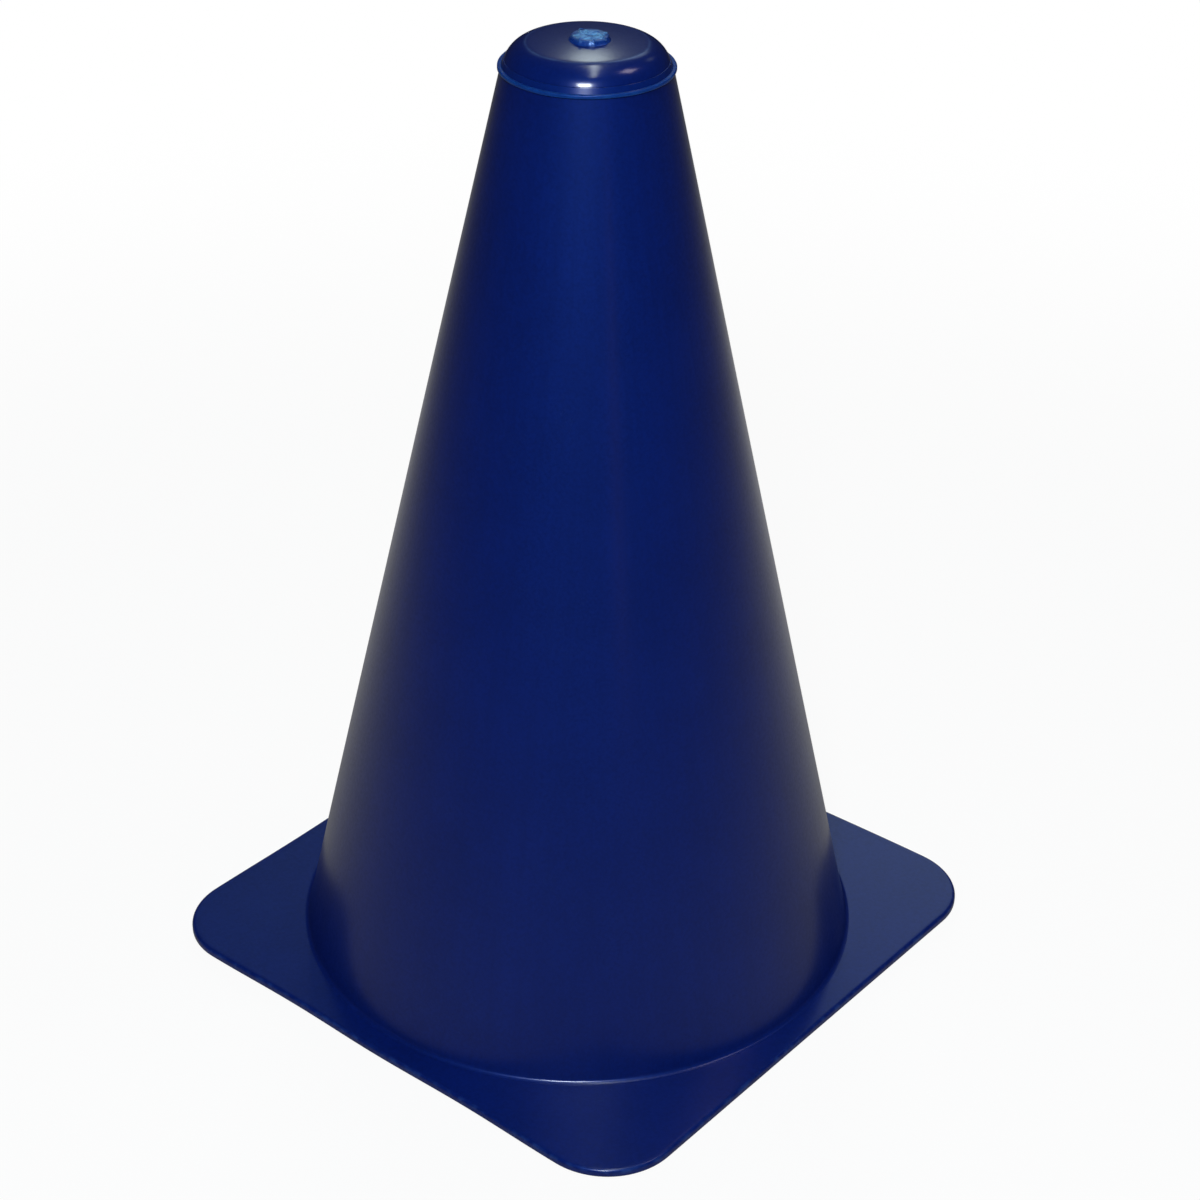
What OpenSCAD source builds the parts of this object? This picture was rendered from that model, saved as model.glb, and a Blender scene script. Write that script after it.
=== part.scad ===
// Sports marker cone: one thin hollow moulding that stands on a square base plate.
// The regions of the moulding are separate solids that meet on flat level faces.
// Millimetres, +Z up. The origin is the middle of the base plate's underside.

/* [Base plate] */
// Side of the square base plate
plate_w = 148; // [120:1:220]
// Thickness of the base plate
plate_t = 2; // [1.6:0.1:4]
// Radius of the plate's corners, seen from above
plate_corner_r = 18; // [8:1:40]
// Rounding of the plate's upper outer edge
plate_edge_r = 0.8; // [0.3:0.1:1]
// Rounding of the plate's lower outer edge
plate_sole_r = 0.4; // [0.2:0.1:0.5]
// Narrowest border between the foot of the wall and the side of the plate
border_w = 6; // [4:0.5:25]

/* [Cone wall] */
// Height of the wall's upper edge above the ground
wall_top_z = 223; // [150:1:400]
// Outer radius of the wall at its upper edge
wall_top_r = 18.35; // [14:0.05:30]
// Thickness of the wall, measured square to its surface
wall_t = 1.2; // [0.8:0.1:2.5]
// Radius of the hollow fillet between the wall and the plate
foot_fillet_r = 1.2; // [0.6:0.1:3]
// Thickness of the fillet's thin toe on the plate
toe_h = 0.05; // [0.03:0.01:0.1]
// Rounding of the mouth's edge on the underside
mouth_round_r = 1; // [0.4:0.1:1.4]

/* [Lip] */
// Height of the thin lip that runs round the top of the wall
lip_h = 0.8; // [0.6:0.1:1.6]
// How far the lip stands out from the wall
lip_out = 0.65; // [0.5:0.05:2]

/* [Collar] */
// Height of the tapered collar above the lip
collar_h = 1.2; // [0.8:0.1:2]
// How far the collar's lower edge lies inside the wall's upper edge
collar_back = 0.2; // [0.1:0.05:0.3]
// How far the collar draws in towards its upper edge
collar_in = 0.55; // [0.3:0.05:0.8]
// How far the collar's side bulges past a straight taper
collar_bulge = 0.06; // [0.04:0.01:0.1]

/* [Crown] */
// Height of the crown's rounded shoulder
crown_h = 3.6; // [3:0.1:5]
// Width of the fine step between the collar and the crown
seam_step = 0.15; // [0.05:0.01:0.2]
// How far the shoulder draws in towards the ridge
shoulder_in = 4.35; // [3.5:0.05:5.5]
// How far the shoulder bulges past a straight taper
shoulder_bulge = 0.7; // [0.4:0.05:0.9]
// Radius of the fine bead along the ridge
ridge_bead_r = 0.25; // [0.15:0.05:0.4]
// Rise of the shallow dome inside the ridge
dome_rise = 0.45; // [0.2:0.05:0.8]
// Thickness of the crown in its middle
crown_t = 1.8; // [1.5:0.1:2.2]
// Height of the flat land under the gate stub
land_h = 0.1; // [0.05:0.05:0.3]

/* [Gate stub] */
// Radius of the stub's foot
stub_r = 4.6; // [3:0.1:6]
// Height of the stub's stem, up to the torn layers
stem_h = 0.85; // [0.5:0.05:2]
// How much the stem narrows towards its top
stem_taper = 0.5; // [0.1:0.1:1]
// Radius of the lowest torn layer without its tips
torn_r = 3.4; // [2:0.1:4.5]
// Thickness of each torn layer
layer_t = 0.15; // [0.1:0.05:0.5]
// How far the longest torn tips stand out
tip_reach = 0.75; // [0.3:0.05:1.5]
// Number of torn layers
layer_count = 3; // [2:1:4]
// Number of tips on each layer
tip_count = 7; // [5:1:10]

/* [Hidden] */
// Facets of a drawn round, and of the large sphere of which the dome is a small part
$fn = 96;
dome_facets = 1440;
// Overrun of every cut past the faces that it leaves
cut_over = 1;
// How far behind its line the end of a bulge lies, as a share of its rise
end_inset_share = 0.03;

// Colours of the moulded plastic, of its thin lip and of the torn stub
body_colour = [0.05, 0.12, 0.38];
lip_colour = [0.14, 0.27, 0.56];
stub_colour = [0.26, 0.41, 0.61];

// Line of the wall's outer face: its foot, its inward slope and its angle off the vertical
foot_r = plate_w / 2 - border_w;
wall_slope = (foot_r - wall_top_r) / (wall_top_z - plate_t);
wall_angle = atan(wall_slope);
// Radius at a height above the ground of the face that lies a depth inside the wall's outer face
function face_r(z, depth) = foot_r - wall_slope * (z - plate_t) - depth / cos(wall_angle);
// Middle of a round that touches the level z and that sloping face, and the point where it meets the face
function round_mid(z, depth, r) = [face_r(z, depth) + r / tan(45 + wall_angle / 2), z + r];
function round_end(mid, r) = mid - r * [cos(wall_angle), sin(wall_angle)];

// Levels of the moulded regions above the wall
lip_top_z = wall_top_z + lip_h;
collar_top_z = lip_top_z + collar_h;
ridge_z = collar_top_z + crown_h;
dome_z = ridge_z + dome_rise;
land_z = dome_z + land_h;
stem_top_z = land_z + stem_h;
// Level of the hollow's flat top, under the dome
hollow_top_z = dome_z - crown_t;

// Radii of the collar, of the crown and of its ridge
collar_foot_r = wall_top_r - collar_back;
collar_top_r = collar_foot_r - collar_in;
crown_foot_r = collar_top_r - seam_step;
ridge_r = crown_foot_r - shoulder_in;
// Sphere of the dome: it passes through the ridge and reaches its highest point on the axis
dome_ball_r = (pow(ridge_r, 2) + pow(dome_rise, 2)) / (2 * dome_rise);

// Round inside corner of the hollow: it runs from the wall's inner face at the lip to the flat top
inner_round_r = (hollow_top_z - lip_top_z) / (1 - sin(wall_angle));
inner_round_z = lip_top_z - inner_round_r * sin(wall_angle);
inner_round_axis_r = face_r(lip_top_z, wall_t) - inner_round_r * cos(wall_angle);

// Torn layers: each is smaller than the one below, turned against it and sunk into it a little
layer_shrink_share = 0.12;
layer_sunk_share = 0.2;
layer_turn = 19;
// Unevenness of the tips: the least reach as a share of the longest, and the turn from tip to tip
tip_least_share = 0.45;
tip_turn = 77;

// Curved side between a low and a high point, which stands out from their straight line by a rise.
// It also reaches back by the same amount in the middle, into the solid that it rounds.
// The curve starts and ends a small share of the rise behind the line, so that it crosses it cleanly.
module bulge(low, high, rise) {
    chord = norm(high - low);
    sag = rise * (1 + end_inset_share);
    arc_r = (pow(chord / 2, 2) + pow(sag, 2)) / (2 * sag);
    lean = atan2(low[0] - high[0], high[1] - low[1]);
    translate(low) rotate(lean) intersection() {
        translate([rise - arc_r, chord / 2]) circle(r = arc_r);
        polygon([[0, 0], [rise, 0], [rise, chord], [0, chord], [-rise, chord / 2]]);
    }
}

// What a rounding takes off the lower outer corner of a section, with that corner at the origin
module edge_cut(round_r) {
    difference() {
        translate([-round_r, -cut_over]) square(round_r + cut_over);
        translate([-round_r, round_r]) circle(r = round_r);
    }
}

// Half section of the plate with its rounded edges, from the middle out to a half width
module slab_section(half_w) {
    difference() {
        square([half_w, plate_t]);
        translate([half_w, plate_t]) mirror([0, 1]) edge_cut(plate_edge_r);
        translate([half_w, 0]) edge_cut(plate_sole_r);
    }
}

// Bar of the plate's section that runs the length between two corner centres
module plate_bar() {
    bar_l = plate_w - 2 * plate_corner_r;
    rotate([90, 0, 0]) translate([0, 0, -bar_l / 2]) linear_extrude(bar_l) {
        slab_section(plate_w / 2);
        mirror([1, 0]) slab_section(plate_w / 2);
    }
}

// Square plate with round corners, round edges and the cone's open mouth
module base_plate() {
    corner_at = plate_w / 2 - plate_corner_r;
    color(body_colour) difference() {
        union() {
            plate_bar();
            rotate(90) plate_bar();
            for (x = [-1, 1], y = [-1, 1]) {
                translate([x * corner_at, y * corner_at]) rotate_extrude() slab_section(plate_corner_r);
            }
        }
        rotate_extrude() mouth_section();
    }
}

// Half section of the mouth: the slope of the wall's inner face, with a rounded edge on the underside
module mouth_section() {
    low_z = -cut_over;
    high_z = plate_t + cut_over;
    mid = round_mid(0, wall_t, mouth_round_r);
    difference() {
        polygon([
            [0, low_z],
            [mid[0], low_z],
            mid,
            round_end(mid, mouth_round_r),
            [face_r(high_z, wall_t), high_z],
            [0, high_z]
        ]);
        translate(mid) circle(r = mouth_round_r);
    }
}

// Tapered hollow wall of even thickness with its fillet on the plate
module cone_wall() {
    mid = round_mid(plate_t + toe_h, 0, foot_fillet_r);
    color(body_colour) rotate_extrude() difference() {
        polygon([
            [face_r(plate_t, wall_t), plate_t],
            [mid[0], plate_t],
            mid,
            round_end(mid, foot_fillet_r),
            [wall_top_r, wall_top_z],
            [face_r(wall_top_z, wall_t), wall_top_z]
        ]);
        translate(mid) circle(r = foot_fillet_r);
    }
}

// Thin lip with a half-round nose, where the halves of the mould meet
module lip_ring() {
    nose_r = lip_h / 2;
    nose_at = wall_top_r + lip_out - nose_r;
    color(lip_colour) rotate_extrude() {
        polygon([
            [face_r(wall_top_z, wall_t), wall_top_z],
            [nose_at, wall_top_z],
            [nose_at, lip_top_z],
            [face_r(lip_top_z, wall_t), lip_top_z]
        ]);
        translate([nose_at, wall_top_z + nose_r]) circle(r = nose_r);
    }
}

// Tapered band above the lip, hollowed to the round inside corner
module collar() {
    low = [collar_foot_r, lip_top_z];
    high = [collar_top_r, collar_top_z];
    color(body_colour) rotate_extrude() difference() {
        union() {
            polygon([[inner_round_axis_r, lip_top_z], low, high, [inner_round_axis_r, collar_top_z]]);
            bulge(low, high, collar_bulge);
        }
        translate([inner_round_axis_r, inner_round_z]) circle(r = inner_round_r);
    }
}

// Closed top: rounded shoulder, fine ridge, shallow dome, the land of the gate and the hollow's round top
module crown() {
    low = [crown_foot_r, collar_top_z];
    high = [ridge_r, ridge_z];
    color(body_colour) rotate_extrude() {
        difference() {
            union() {
                polygon([[0, collar_top_z], low, high, [0, ridge_z]]);
                bulge(low, high, shoulder_bulge);
                intersection() {
                    translate([0, dome_z - dome_ball_r]) circle(r = dome_ball_r, $fn = dome_facets);
                    translate([0, collar_top_z]) square([ridge_r - ridge_bead_r, crown_h + cut_over]);
                }
                translate([0, collar_top_z]) square([stub_r, land_z - collar_top_z]);
            }
            translate([inner_round_axis_r, inner_round_z]) circle(r = inner_round_r);
            translate([0, inner_round_z]) square([inner_round_axis_r, inner_round_r]);
        }
        translate([ridge_r - ridge_bead_r, ridge_z - ridge_bead_r / 2]) circle(r = ridge_bead_r);
    }
}

// Outline of a torn layer: uneven tips round a core
function torn_outline(core_r, reach) = [
    for (i = [0 : 2 * tip_count - 1])
        let (
            uneven = tip_least_share + (1 - tip_least_share) * pow(cos(i * tip_turn), 2),
            r = core_r + (i % 2) * reach * uneven
        )
        r * [cos(i * 180 / tip_count), sin(i * 180 / tip_count)]
];

// Stub of the gate: a short wide stem that ends in torn layers
module gate_stub() {
    color(stub_colour) {
        translate([0, 0, land_z]) cylinder(r1 = stub_r, r2 = stub_r - stem_taper, h = stem_h);
        for (i = [0 : layer_count - 1]) {
            core_r = torn_r * (1 - i * layer_shrink_share);
            reach = tip_reach * (1 - i * layer_shrink_share);
            translate([0, 0, stem_top_z + (i - layer_sunk_share) * layer_t]) rotate(i * layer_turn)
                linear_extrude((1 + layer_sunk_share) * layer_t) polygon(torn_outline(core_r, reach));
        }
    }
}

base_plate();
cone_wall();
lip_ring();
collar();
crown();
gate_stub();
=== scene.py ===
"""Sports marker cone: its looks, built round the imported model.

The cone is one moulding of soft plastic. Each of its six regions is a closed numpy surface that replaces
the CAD node of that region, with the small unevenness that a soft moulding has. All sizes are in metres,
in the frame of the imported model: +Z up, the origin under the middle of the base plate.
"""
import sys

import logging
import math
from dataclasses import dataclass, replace
from enum import Enum
from typing import Optional, Sequence, Union

import bpy
import numpy as np
from mathutils import Matrix, Vector


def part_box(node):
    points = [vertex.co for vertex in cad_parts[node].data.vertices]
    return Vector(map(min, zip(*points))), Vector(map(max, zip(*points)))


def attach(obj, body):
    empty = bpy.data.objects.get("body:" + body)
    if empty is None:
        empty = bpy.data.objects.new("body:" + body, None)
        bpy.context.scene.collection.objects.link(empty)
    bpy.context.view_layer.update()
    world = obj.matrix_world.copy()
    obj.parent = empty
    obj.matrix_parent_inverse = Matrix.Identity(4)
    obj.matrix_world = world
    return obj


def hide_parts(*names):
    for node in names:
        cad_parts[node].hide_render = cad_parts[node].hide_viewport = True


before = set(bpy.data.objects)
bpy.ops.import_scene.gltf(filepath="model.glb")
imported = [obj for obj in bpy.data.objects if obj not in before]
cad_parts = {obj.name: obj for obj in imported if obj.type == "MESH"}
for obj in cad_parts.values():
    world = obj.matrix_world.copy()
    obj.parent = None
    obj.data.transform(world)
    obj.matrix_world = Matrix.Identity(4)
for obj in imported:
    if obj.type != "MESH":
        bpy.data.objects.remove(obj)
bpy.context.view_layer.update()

LOG = logging.getLogger("marker_cone")
MM = 0.001
TURN = 2.0 * math.pi
Colour = tuple[float, float, float]
Ripple = tuple[tuple[int, ...], tuple[float, ...]]
Shift = Union[np.ndarray, float]
Value = Union[bpy.types.NodeSocket, float, Sequence[float]]
WHITE: Colour = (1.0, 1.0, 1.0)


# Surfaces


def line(start: Sequence[float], end: Sequence[float], steps: int) -> np.ndarray:
    """Points from start up to, but not including, end, evenly spaced.

    Args:
        start: First point, as radius and height.
        end: Point where the next stretch starts.
        steps: Number of points.

    Returns:
        Array of steps by 2.
    """
    share = np.arange(steps)[:, None] / steps
    return (1.0 - share) * np.asarray(start, float) + share * np.asarray(end, float)


def arc(middle: Sequence[float], radius: float, first: float, last: float, steps: int) -> np.ndarray:
    """Points along a circle: middle + radius (cos a, sin a), with a going from first up to last.

    Args:
        middle: Middle of the circle, as radius and height.
        radius: Radius of the circle.
        first: Angle of the first point, in radians.
        last: Angle where the next stretch starts.
        steps: Number of points.

    Returns:
        Array of steps by 2.
    """
    angle = first + (last - first) * np.arange(steps) / steps
    return np.asarray(middle, float) + radius * np.stack([np.cos(angle), np.sin(angle)], 1)


def bow(start: Sequence[float], end: Sequence[float], rise: float, steps: int) -> np.ndarray:
    """Points of a shallow curve: the straight line plus rise * 4 s (1 - s) square to it, on its left.

    Args:
        start: First point.
        end: Point where the next stretch starts.
        rise: How far the middle stands off the straight line.
        steps: Number of points.

    Returns:
        Array of steps by 2.
    """
    points = line(start, end, steps)
    along = np.asarray(end, float) - np.asarray(start, float)
    left = np.array([-along[1], along[0]]) / np.linalg.norm(along)
    share = np.arange(steps)[:, None] / steps
    return points + rise * 4.0 * share * (1.0 - share) * left


def smooth(low: float, high: float, value: np.ndarray) -> np.ndarray:
    """The smooth step 3 s^2 - 2 s^3 of the share s that value has reached from low to high."""
    share = np.clip((value - low) / (high - low), 0.0, 1.0)
    return share * share * (3.0 - 2.0 * share)


def waves(turn: np.ndarray, ripple: Ripple) -> np.ndarray:
    """Mean of cos(n t + p) over the ripple's wave counts n and phases p: one smooth ripple round a ring.

    Args:
        turn: Angles round the axis.
        ripple: Waves in one turn, whole numbers, so that the ripple closes, and the phase of each.

    Returns:
        Array of the shape of turn, between -1 and 1.
    """
    return sum(np.cos(count * turn + phase) for count, phase in zip(*ripple)) / len(ripple[0])


@dataclass
class Skin:
    """A surface on a grid of rows by columns that closes round its columns.

    Attributes:
        points: Array of rows by columns by 3.
        loops: True if the last row joins the first. Otherwise both end rows shrink to a pole.
        rub: How much each point is exposed to rubbing, rows by columns, from 0 to 1.
    """

    points: np.ndarray
    loops: bool
    rub: Optional[np.ndarray] = None

    def flat(self) -> tuple[np.ndarray, list[np.ndarray], np.ndarray]:
        """The grid as plain arrays, with its faces turned outwards.

        Returns:
            Points, faces of each kind (quads, then triangles of the poles), and the rub of each point.
        """
        rows, columns = self.points.shape[:2]
        rub = np.zeros((rows, columns)) if self.rub is None else np.broadcast_to(self.rub, (rows, columns))
        number = np.arange(rows * columns).reshape(rows, columns)
        low, high = (number, np.roll(number, -1, 0)) if self.loops else (number[:-1], number[1:])
        quads = np.stack([low, np.roll(low, -1, 1), np.roll(high, -1, 1), high], -1).reshape(-1, 4)
        points, worn, faces = self.points.reshape(-1, 3), rub.reshape(-1), [quads]
        if not self.loops:
            ends = np.stack([self.points[0].mean(0), self.points[-1].mean(0)])
            first, last = number[0], number[-1]
            south = np.stack([np.full(columns, rows * columns), np.roll(first, -1), first], -1)
            north = np.stack([np.full(columns, rows * columns + 1), last, np.roll(last, -1)], -1)
            points = np.vstack([points, ends])
            worn = np.append(worn, [rub[0].mean(), rub[-1].mean()])
            faces.append(np.vstack([south, north]))
        if self.volume(points, faces) < 0.0:
            faces = [kind[:, ::-1] for kind in faces]
        return points, faces, worn

    @staticmethod
    def volume(points: np.ndarray, faces: Sequence[np.ndarray]) -> float:
        """Signed volume: a sixth of the sum of a . (b x c) over the triangles a, b, c of every face.

        Args:
            points: Array of n by 3.
            faces: Point numbers of the faces, one array for each kind.

        Returns:
            The volume, negative if the faces point inwards.
        """
        total = 0.0
        for kind in faces:
            for k in range(1, kind.shape[1] - 1):
                a, b, c = points[kind[:, 0]], points[kind[:, k]], points[kind[:, k + 1]]
                total += float(np.einsum("ij,ij->", a, np.cross(b, c))) / 6.0
        return total


def placed(radius: np.ndarray, height: np.ndarray, turn: np.ndarray) -> np.ndarray:
    """Points round the upright axis: (r cos t, r sin t, z).

    Args:
        radius: Radii, rows by columns, or rows by 1.
        height: Heights, rows by columns, or rows by 1.
        turn: Angle of each column.

    Returns:
        Array of rows by columns by 3.
    """
    shape = (radius.shape[0], turn.size)
    r, z = np.broadcast_to(radius, shape), np.broadcast_to(height, shape)
    return np.stack([r * np.cos(turn), r * np.sin(turn), z], -1)


def turned(section: np.ndarray, turn: np.ndarray, out: Shift = 0.0, up: Shift = 0.0) -> np.ndarray:
    """A section carried round the upright axis: (r + out, z + up) at each angle.

    Args:
        section: Radius and height of each row.
        turn: Angle of each column.
        out: How far each point is moved outwards.
        up: How far each point is lifted.

    Returns:
        Array of rows by columns by 3.
    """
    return placed(section[:, :1] + out, section[:, 1:] + up, turn)


def angles(columns: int) -> np.ndarray:
    """Even angles round the axis, one for each column."""
    return np.arange(columns) * TURN / columns


def mesh_object(name: str, skins: Sequence[Skin], crease: float) -> bpy.types.Object:
    """Puts closed surfaces into one smooth mesh with the attribute rub.

    Args:
        name: Name of the object and of its mesh.
        skins: Closed surfaces.
        crease: Angle between two faces, in radians, from which their edge stays sharp.

    Returns:
        The object, at the origin, linked to the scene.
    """
    points, faces, worn, count = [], [], [], 0
    for skin in skins:
        own, kinds, rub = skin.flat()
        points.append(own)
        worn.append(rub)
        faces.extend((kind + count).tolist() for kind in kinds)
        count += len(own)
    mesh = bpy.data.meshes.new(name)
    mesh.from_pydata(np.vstack(points).tolist(), [], [face for kind in faces for face in kind])
    mesh.polygons.foreach_set("use_smooth", np.ones(len(mesh.polygons), bool))
    layer = mesh.attributes.new("rub", "FLOAT", "POINT")
    layer.data.foreach_set("value", np.concatenate(worn).astype(np.float32))
    mesh.update()
    mesh.set_sharp_from_angle(angle=crease)
    piece = bpy.data.objects.new(name, mesh)
    bpy.context.scene.collection.objects.link(piece)
    return piece


# Node trees


class Op(Enum):
    """Operations of the maths and vector maths nodes that the materials use."""

    ADD = "ADD"
    SUBTRACT = "SUBTRACT"
    MULTIPLY = "MULTIPLY"
    DIVIDE = "DIVIDE"
    MAXIMUM = "MAXIMUM"
    ABSOLUTE = "ABSOLUTE"
    SINE = "SINE"
    POWER = "POWER"
    NORMALIZE = "NORMALIZE"
    LENGTH = "LENGTH"
    DISTANCE = "DISTANCE"
    DOT_PRODUCT = "DOT_PRODUCT"
    SCALE = "SCALE"


@dataclass
class Graph:
    """A node tree with short calls for its nodes and links.

    Attributes:
        tree: The tree.
    """

    tree: bpy.types.NodeTree

    @classmethod
    def cleared(cls, holder: Union[bpy.types.Material, bpy.types.World]) -> "Graph":
        """Turns on the nodes of a material or of the world, and empties its tree.

        Args:
            holder: The material or the world.

        Returns:
            Its tree.
        """
        holder.use_nodes = True
        holder.node_tree.nodes.clear()
        return cls(holder.node_tree)

    def node(self, kind: str, inputs: Optional[dict] = None, **settings: object) -> bpy.types.Node:
        """Adds a node.

        Args:
            kind: Blender's name of the node type.
            inputs: Socket name or number, and the value or the output that goes into it.
            settings: Properties of the node itself.

        Returns:
            The node.
        """
        made = self.tree.nodes.new(kind)
        for key, value in settings.items():
            setattr(made, key, value)
        for key, value in (inputs or {}).items():
            self.put(made.inputs[key], value)
        return made

    def put(self, socket: bpy.types.NodeSocket, value: Value) -> None:
        """Links an output to a socket, or sets the socket's own value.

        Args:
            socket: Input of a node.
            value: The output that is linked to it, or its value.
        """
        if isinstance(value, bpy.types.NodeSocket):
            self.tree.links.new(value, socket)
        elif isinstance(value, (tuple, list)) and socket.type == "RGBA":
            socket.default_value = (*value[:3], 1.0)
        else:
            socket.default_value = value

    def calc(self, op: Op, a: Value, b: Value = 0.0, clamp: bool = False) -> bpy.types.NodeSocket:
        """Output of a maths node on one or two values."""
        return self.node("ShaderNodeMath", {0: a, 1: b}, operation=op.value, use_clamp=clamp).outputs[0]

    def vector(self, op: Op, a: Value, b: Value = (0.0, 0.0, 0.0)) -> bpy.types.NodeSocket:
        """Vector output of a vector maths node."""
        return self.node("ShaderNodeVectorMath", {0: a, 1: b}, operation=op.value).outputs[0]

    def measure(self, op: Op, a: Value, b: Value = (0.0, 0.0, 0.0)) -> bpy.types.NodeSocket:
        """Value output of a vector maths node."""
        return self.node("ShaderNodeVectorMath", {0: a, 1: b}, operation=op.value).outputs["Value"]

    def without_height(self, where: Value) -> bpy.types.NodeSocket:
        """A place brought down to the level of the origin."""
        return self.vector(Op.MULTIPLY, where, (1.0, 1.0, 0.0))

    def scaled(self, a: Value, by: Value) -> bpy.types.NodeSocket:
        """Vector times a value."""
        scale = self.node("ShaderNodeVectorMath", {0: a, "Scale": by}, operation=Op.SCALE.value)
        return scale.outputs[0]

    def step(self, value: Value, low: Value, high: Value) -> bpy.types.NodeSocket:
        """Smooth step from 0 at low to 1 at high."""
        made = self.node("ShaderNodeMapRange", {0: value, 1: low, 2: high}, interpolation_type="SMOOTHSTEP")
        return made.outputs[0]

    def blend(self, share: Value, a: Value, b: Value) -> bpy.types.NodeSocket:
        """Colour a mixed with colour b by a share.

        Args:
            share: Share of b.
            a: Colour at a share of 0.
            b: Colour at a share of 1.

        Returns:
            The mixed colour.
        """
        made = self.node("ShaderNodeMix", {"Factor": share}, data_type="RGBA")
        # The colours are inputs 6 and 7 and output 2: sockets for other kinds of value have the same names.
        self.put(made.inputs[6], a)
        self.put(made.inputs[7], b)
        return made.outputs[2]

    def noise_node(self, where: Value, size: Value, detail: float, rough: float) -> bpy.types.Node:
        """Noise texture whose features have a given size.

        Args:
            where: Place at which the noise is read.
            size: Size of its features.
            detail: Number of finer layers.
            rough: Strength of each finer layer.

        Returns:
            The node.
        """
        scale = 1.0 / size if isinstance(size, float) else self.calc(Op.POWER, size, -1.0)
        inputs = {"Vector": where, "Scale": scale, "Detail": detail, "Roughness": rough}
        return self.node("ShaderNodeTexNoise", inputs)

    def noise(self, where: Value, size: Value, detail: float = 2.0,
              rough: float = 0.5) -> bpy.types.NodeSocket:
        """Noise value, from 0 to 1, whose features have a given size."""
        return self.noise_node(where, size, detail, rough).outputs[0]


class Effect:
    """A shader node group that several materials share. It is built once.

    Attributes:
        name: Name of the group.
        inputs: Its inputs beside Position, and their values where a material gives none.
        outputs: Its outputs.
    """

    name: str = ""
    inputs: dict[str, float] = {}
    outputs: tuple[str, ...] = ()

    @classmethod
    def tree(cls) -> bpy.types.NodeTree:
        """The group, built on its first use.

        Returns:
            The group's tree.
        """
        if cls.name in bpy.data.node_groups:
            return bpy.data.node_groups[cls.name]
        made = bpy.data.node_groups.new(cls.name, "ShaderNodeTree")
        made.interface.new_socket("Position", in_out="INPUT", socket_type="NodeSocketVector")
        for name, value in cls.inputs.items():
            socket = made.interface.new_socket(name, in_out="INPUT", socket_type="NodeSocketFloat")
            socket.default_value = value
        for name in cls.outputs:
            made.interface.new_socket(name, in_out="OUTPUT", socket_type="NodeSocketFloat")
        graph = Graph(made)
        given = graph.node("NodeGroupInput")
        result = graph.node("NodeGroupOutput")
        values = cls.work(graph, {socket.name: socket for socket in given.outputs if socket.name})
        for name, value in zip(cls.outputs, values):
            graph.put(result.inputs[name], value)
        return made

    @classmethod
    def work(cls, graph: Graph, given: dict[str, bpy.types.NodeSocket]) -> tuple[Value, ...]:
        """Builds the inside of the group.

        Args:
            graph: The group's own tree.
            given: The group's inputs by name.

        Returns:
            What goes to each output, in their order.
        """
        raise NotImplementedError

    @classmethod
    def use(cls, graph: Graph, position: Value, **values: Value) -> bpy.types.NodeSocket:
        """Places the group in a material, with the material's own values.

        Args:
            graph: Tree of the material.
            position: Vector that goes into Position.
            values: Other inputs by name.

        Returns:
            The group's first output.
        """
        made = graph.node("ShaderNodeGroup", node_tree=cls.tree())
        for key, value in {"Position": position, **values}.items():
            graph.put(made.inputs[key], value)
        return made.outputs[0]


class MouldGrain(Effect):
    """Orange peel and fine grain that the mould's etched face leaves, as a height."""

    name = "mould_grain"
    inputs = {"Peel Size": 1.6 * MM, "Grain Size": 0.45 * MM, "Grain Share": 0.35, "Depth": 0.01 * MM}
    outputs = ("Height",)

    @classmethod
    def work(cls, graph: Graph, given: dict[str, bpy.types.NodeSocket]) -> tuple[Value, ...]:
        """Height = depth (peel noise + share * grain noise).

        Args:
            graph: The group's own tree.
            given: The group's inputs by name.

        Returns:
            The height.
        """
        peel = graph.noise(given["Position"], given["Peel Size"], detail=1.0)
        grain = graph.noise(given["Position"], given["Grain Size"])
        both = graph.calc(Op.ADD, peel, graph.calc(Op.MULTIPLY, grain, given["Grain Share"]))
        return (graph.calc(Op.MULTIPLY, both, given["Depth"]),)


class PigmentMottle(Effect):
    """Uneven pigment: small specks with large faint clouds under them.

    Attributes:
        levels: Noise levels between which the amount grows from 0 to 1.
    """

    name = "pigment_mottle"
    inputs = {"Cloud Size": 18.0 * MM, "Cloud Share": 0.4, "Speck Size": 0.8 * MM, "Speck Share": 0.9}
    outputs = ("Amount",)
    levels: tuple[float, float] = (0.40, 0.95)

    @classmethod
    def work(cls, graph: Graph, given: dict[str, bpy.types.NodeSocket]) -> tuple[Value, ...]:
        """Amount = smooth step of a share of the cloud noise plus a share of the speck noise.

        Args:
            graph: The group's own tree.
            given: The group's inputs by name.

        Returns:
            The amount.
        """
        cloud = graph.noise(given["Position"], given["Cloud Size"], detail=3.0, rough=0.6)
        speck = graph.noise(given["Position"], given["Speck Size"], detail=2.0, rough=0.6)
        mixed = graph.calc(Op.ADD, graph.calc(Op.MULTIPLY, cloud, given["Cloud Share"]),
                           graph.calc(Op.MULTIPLY, speck, given["Speck Share"]))
        return (graph.step(mixed, *cls.levels),)


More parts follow.
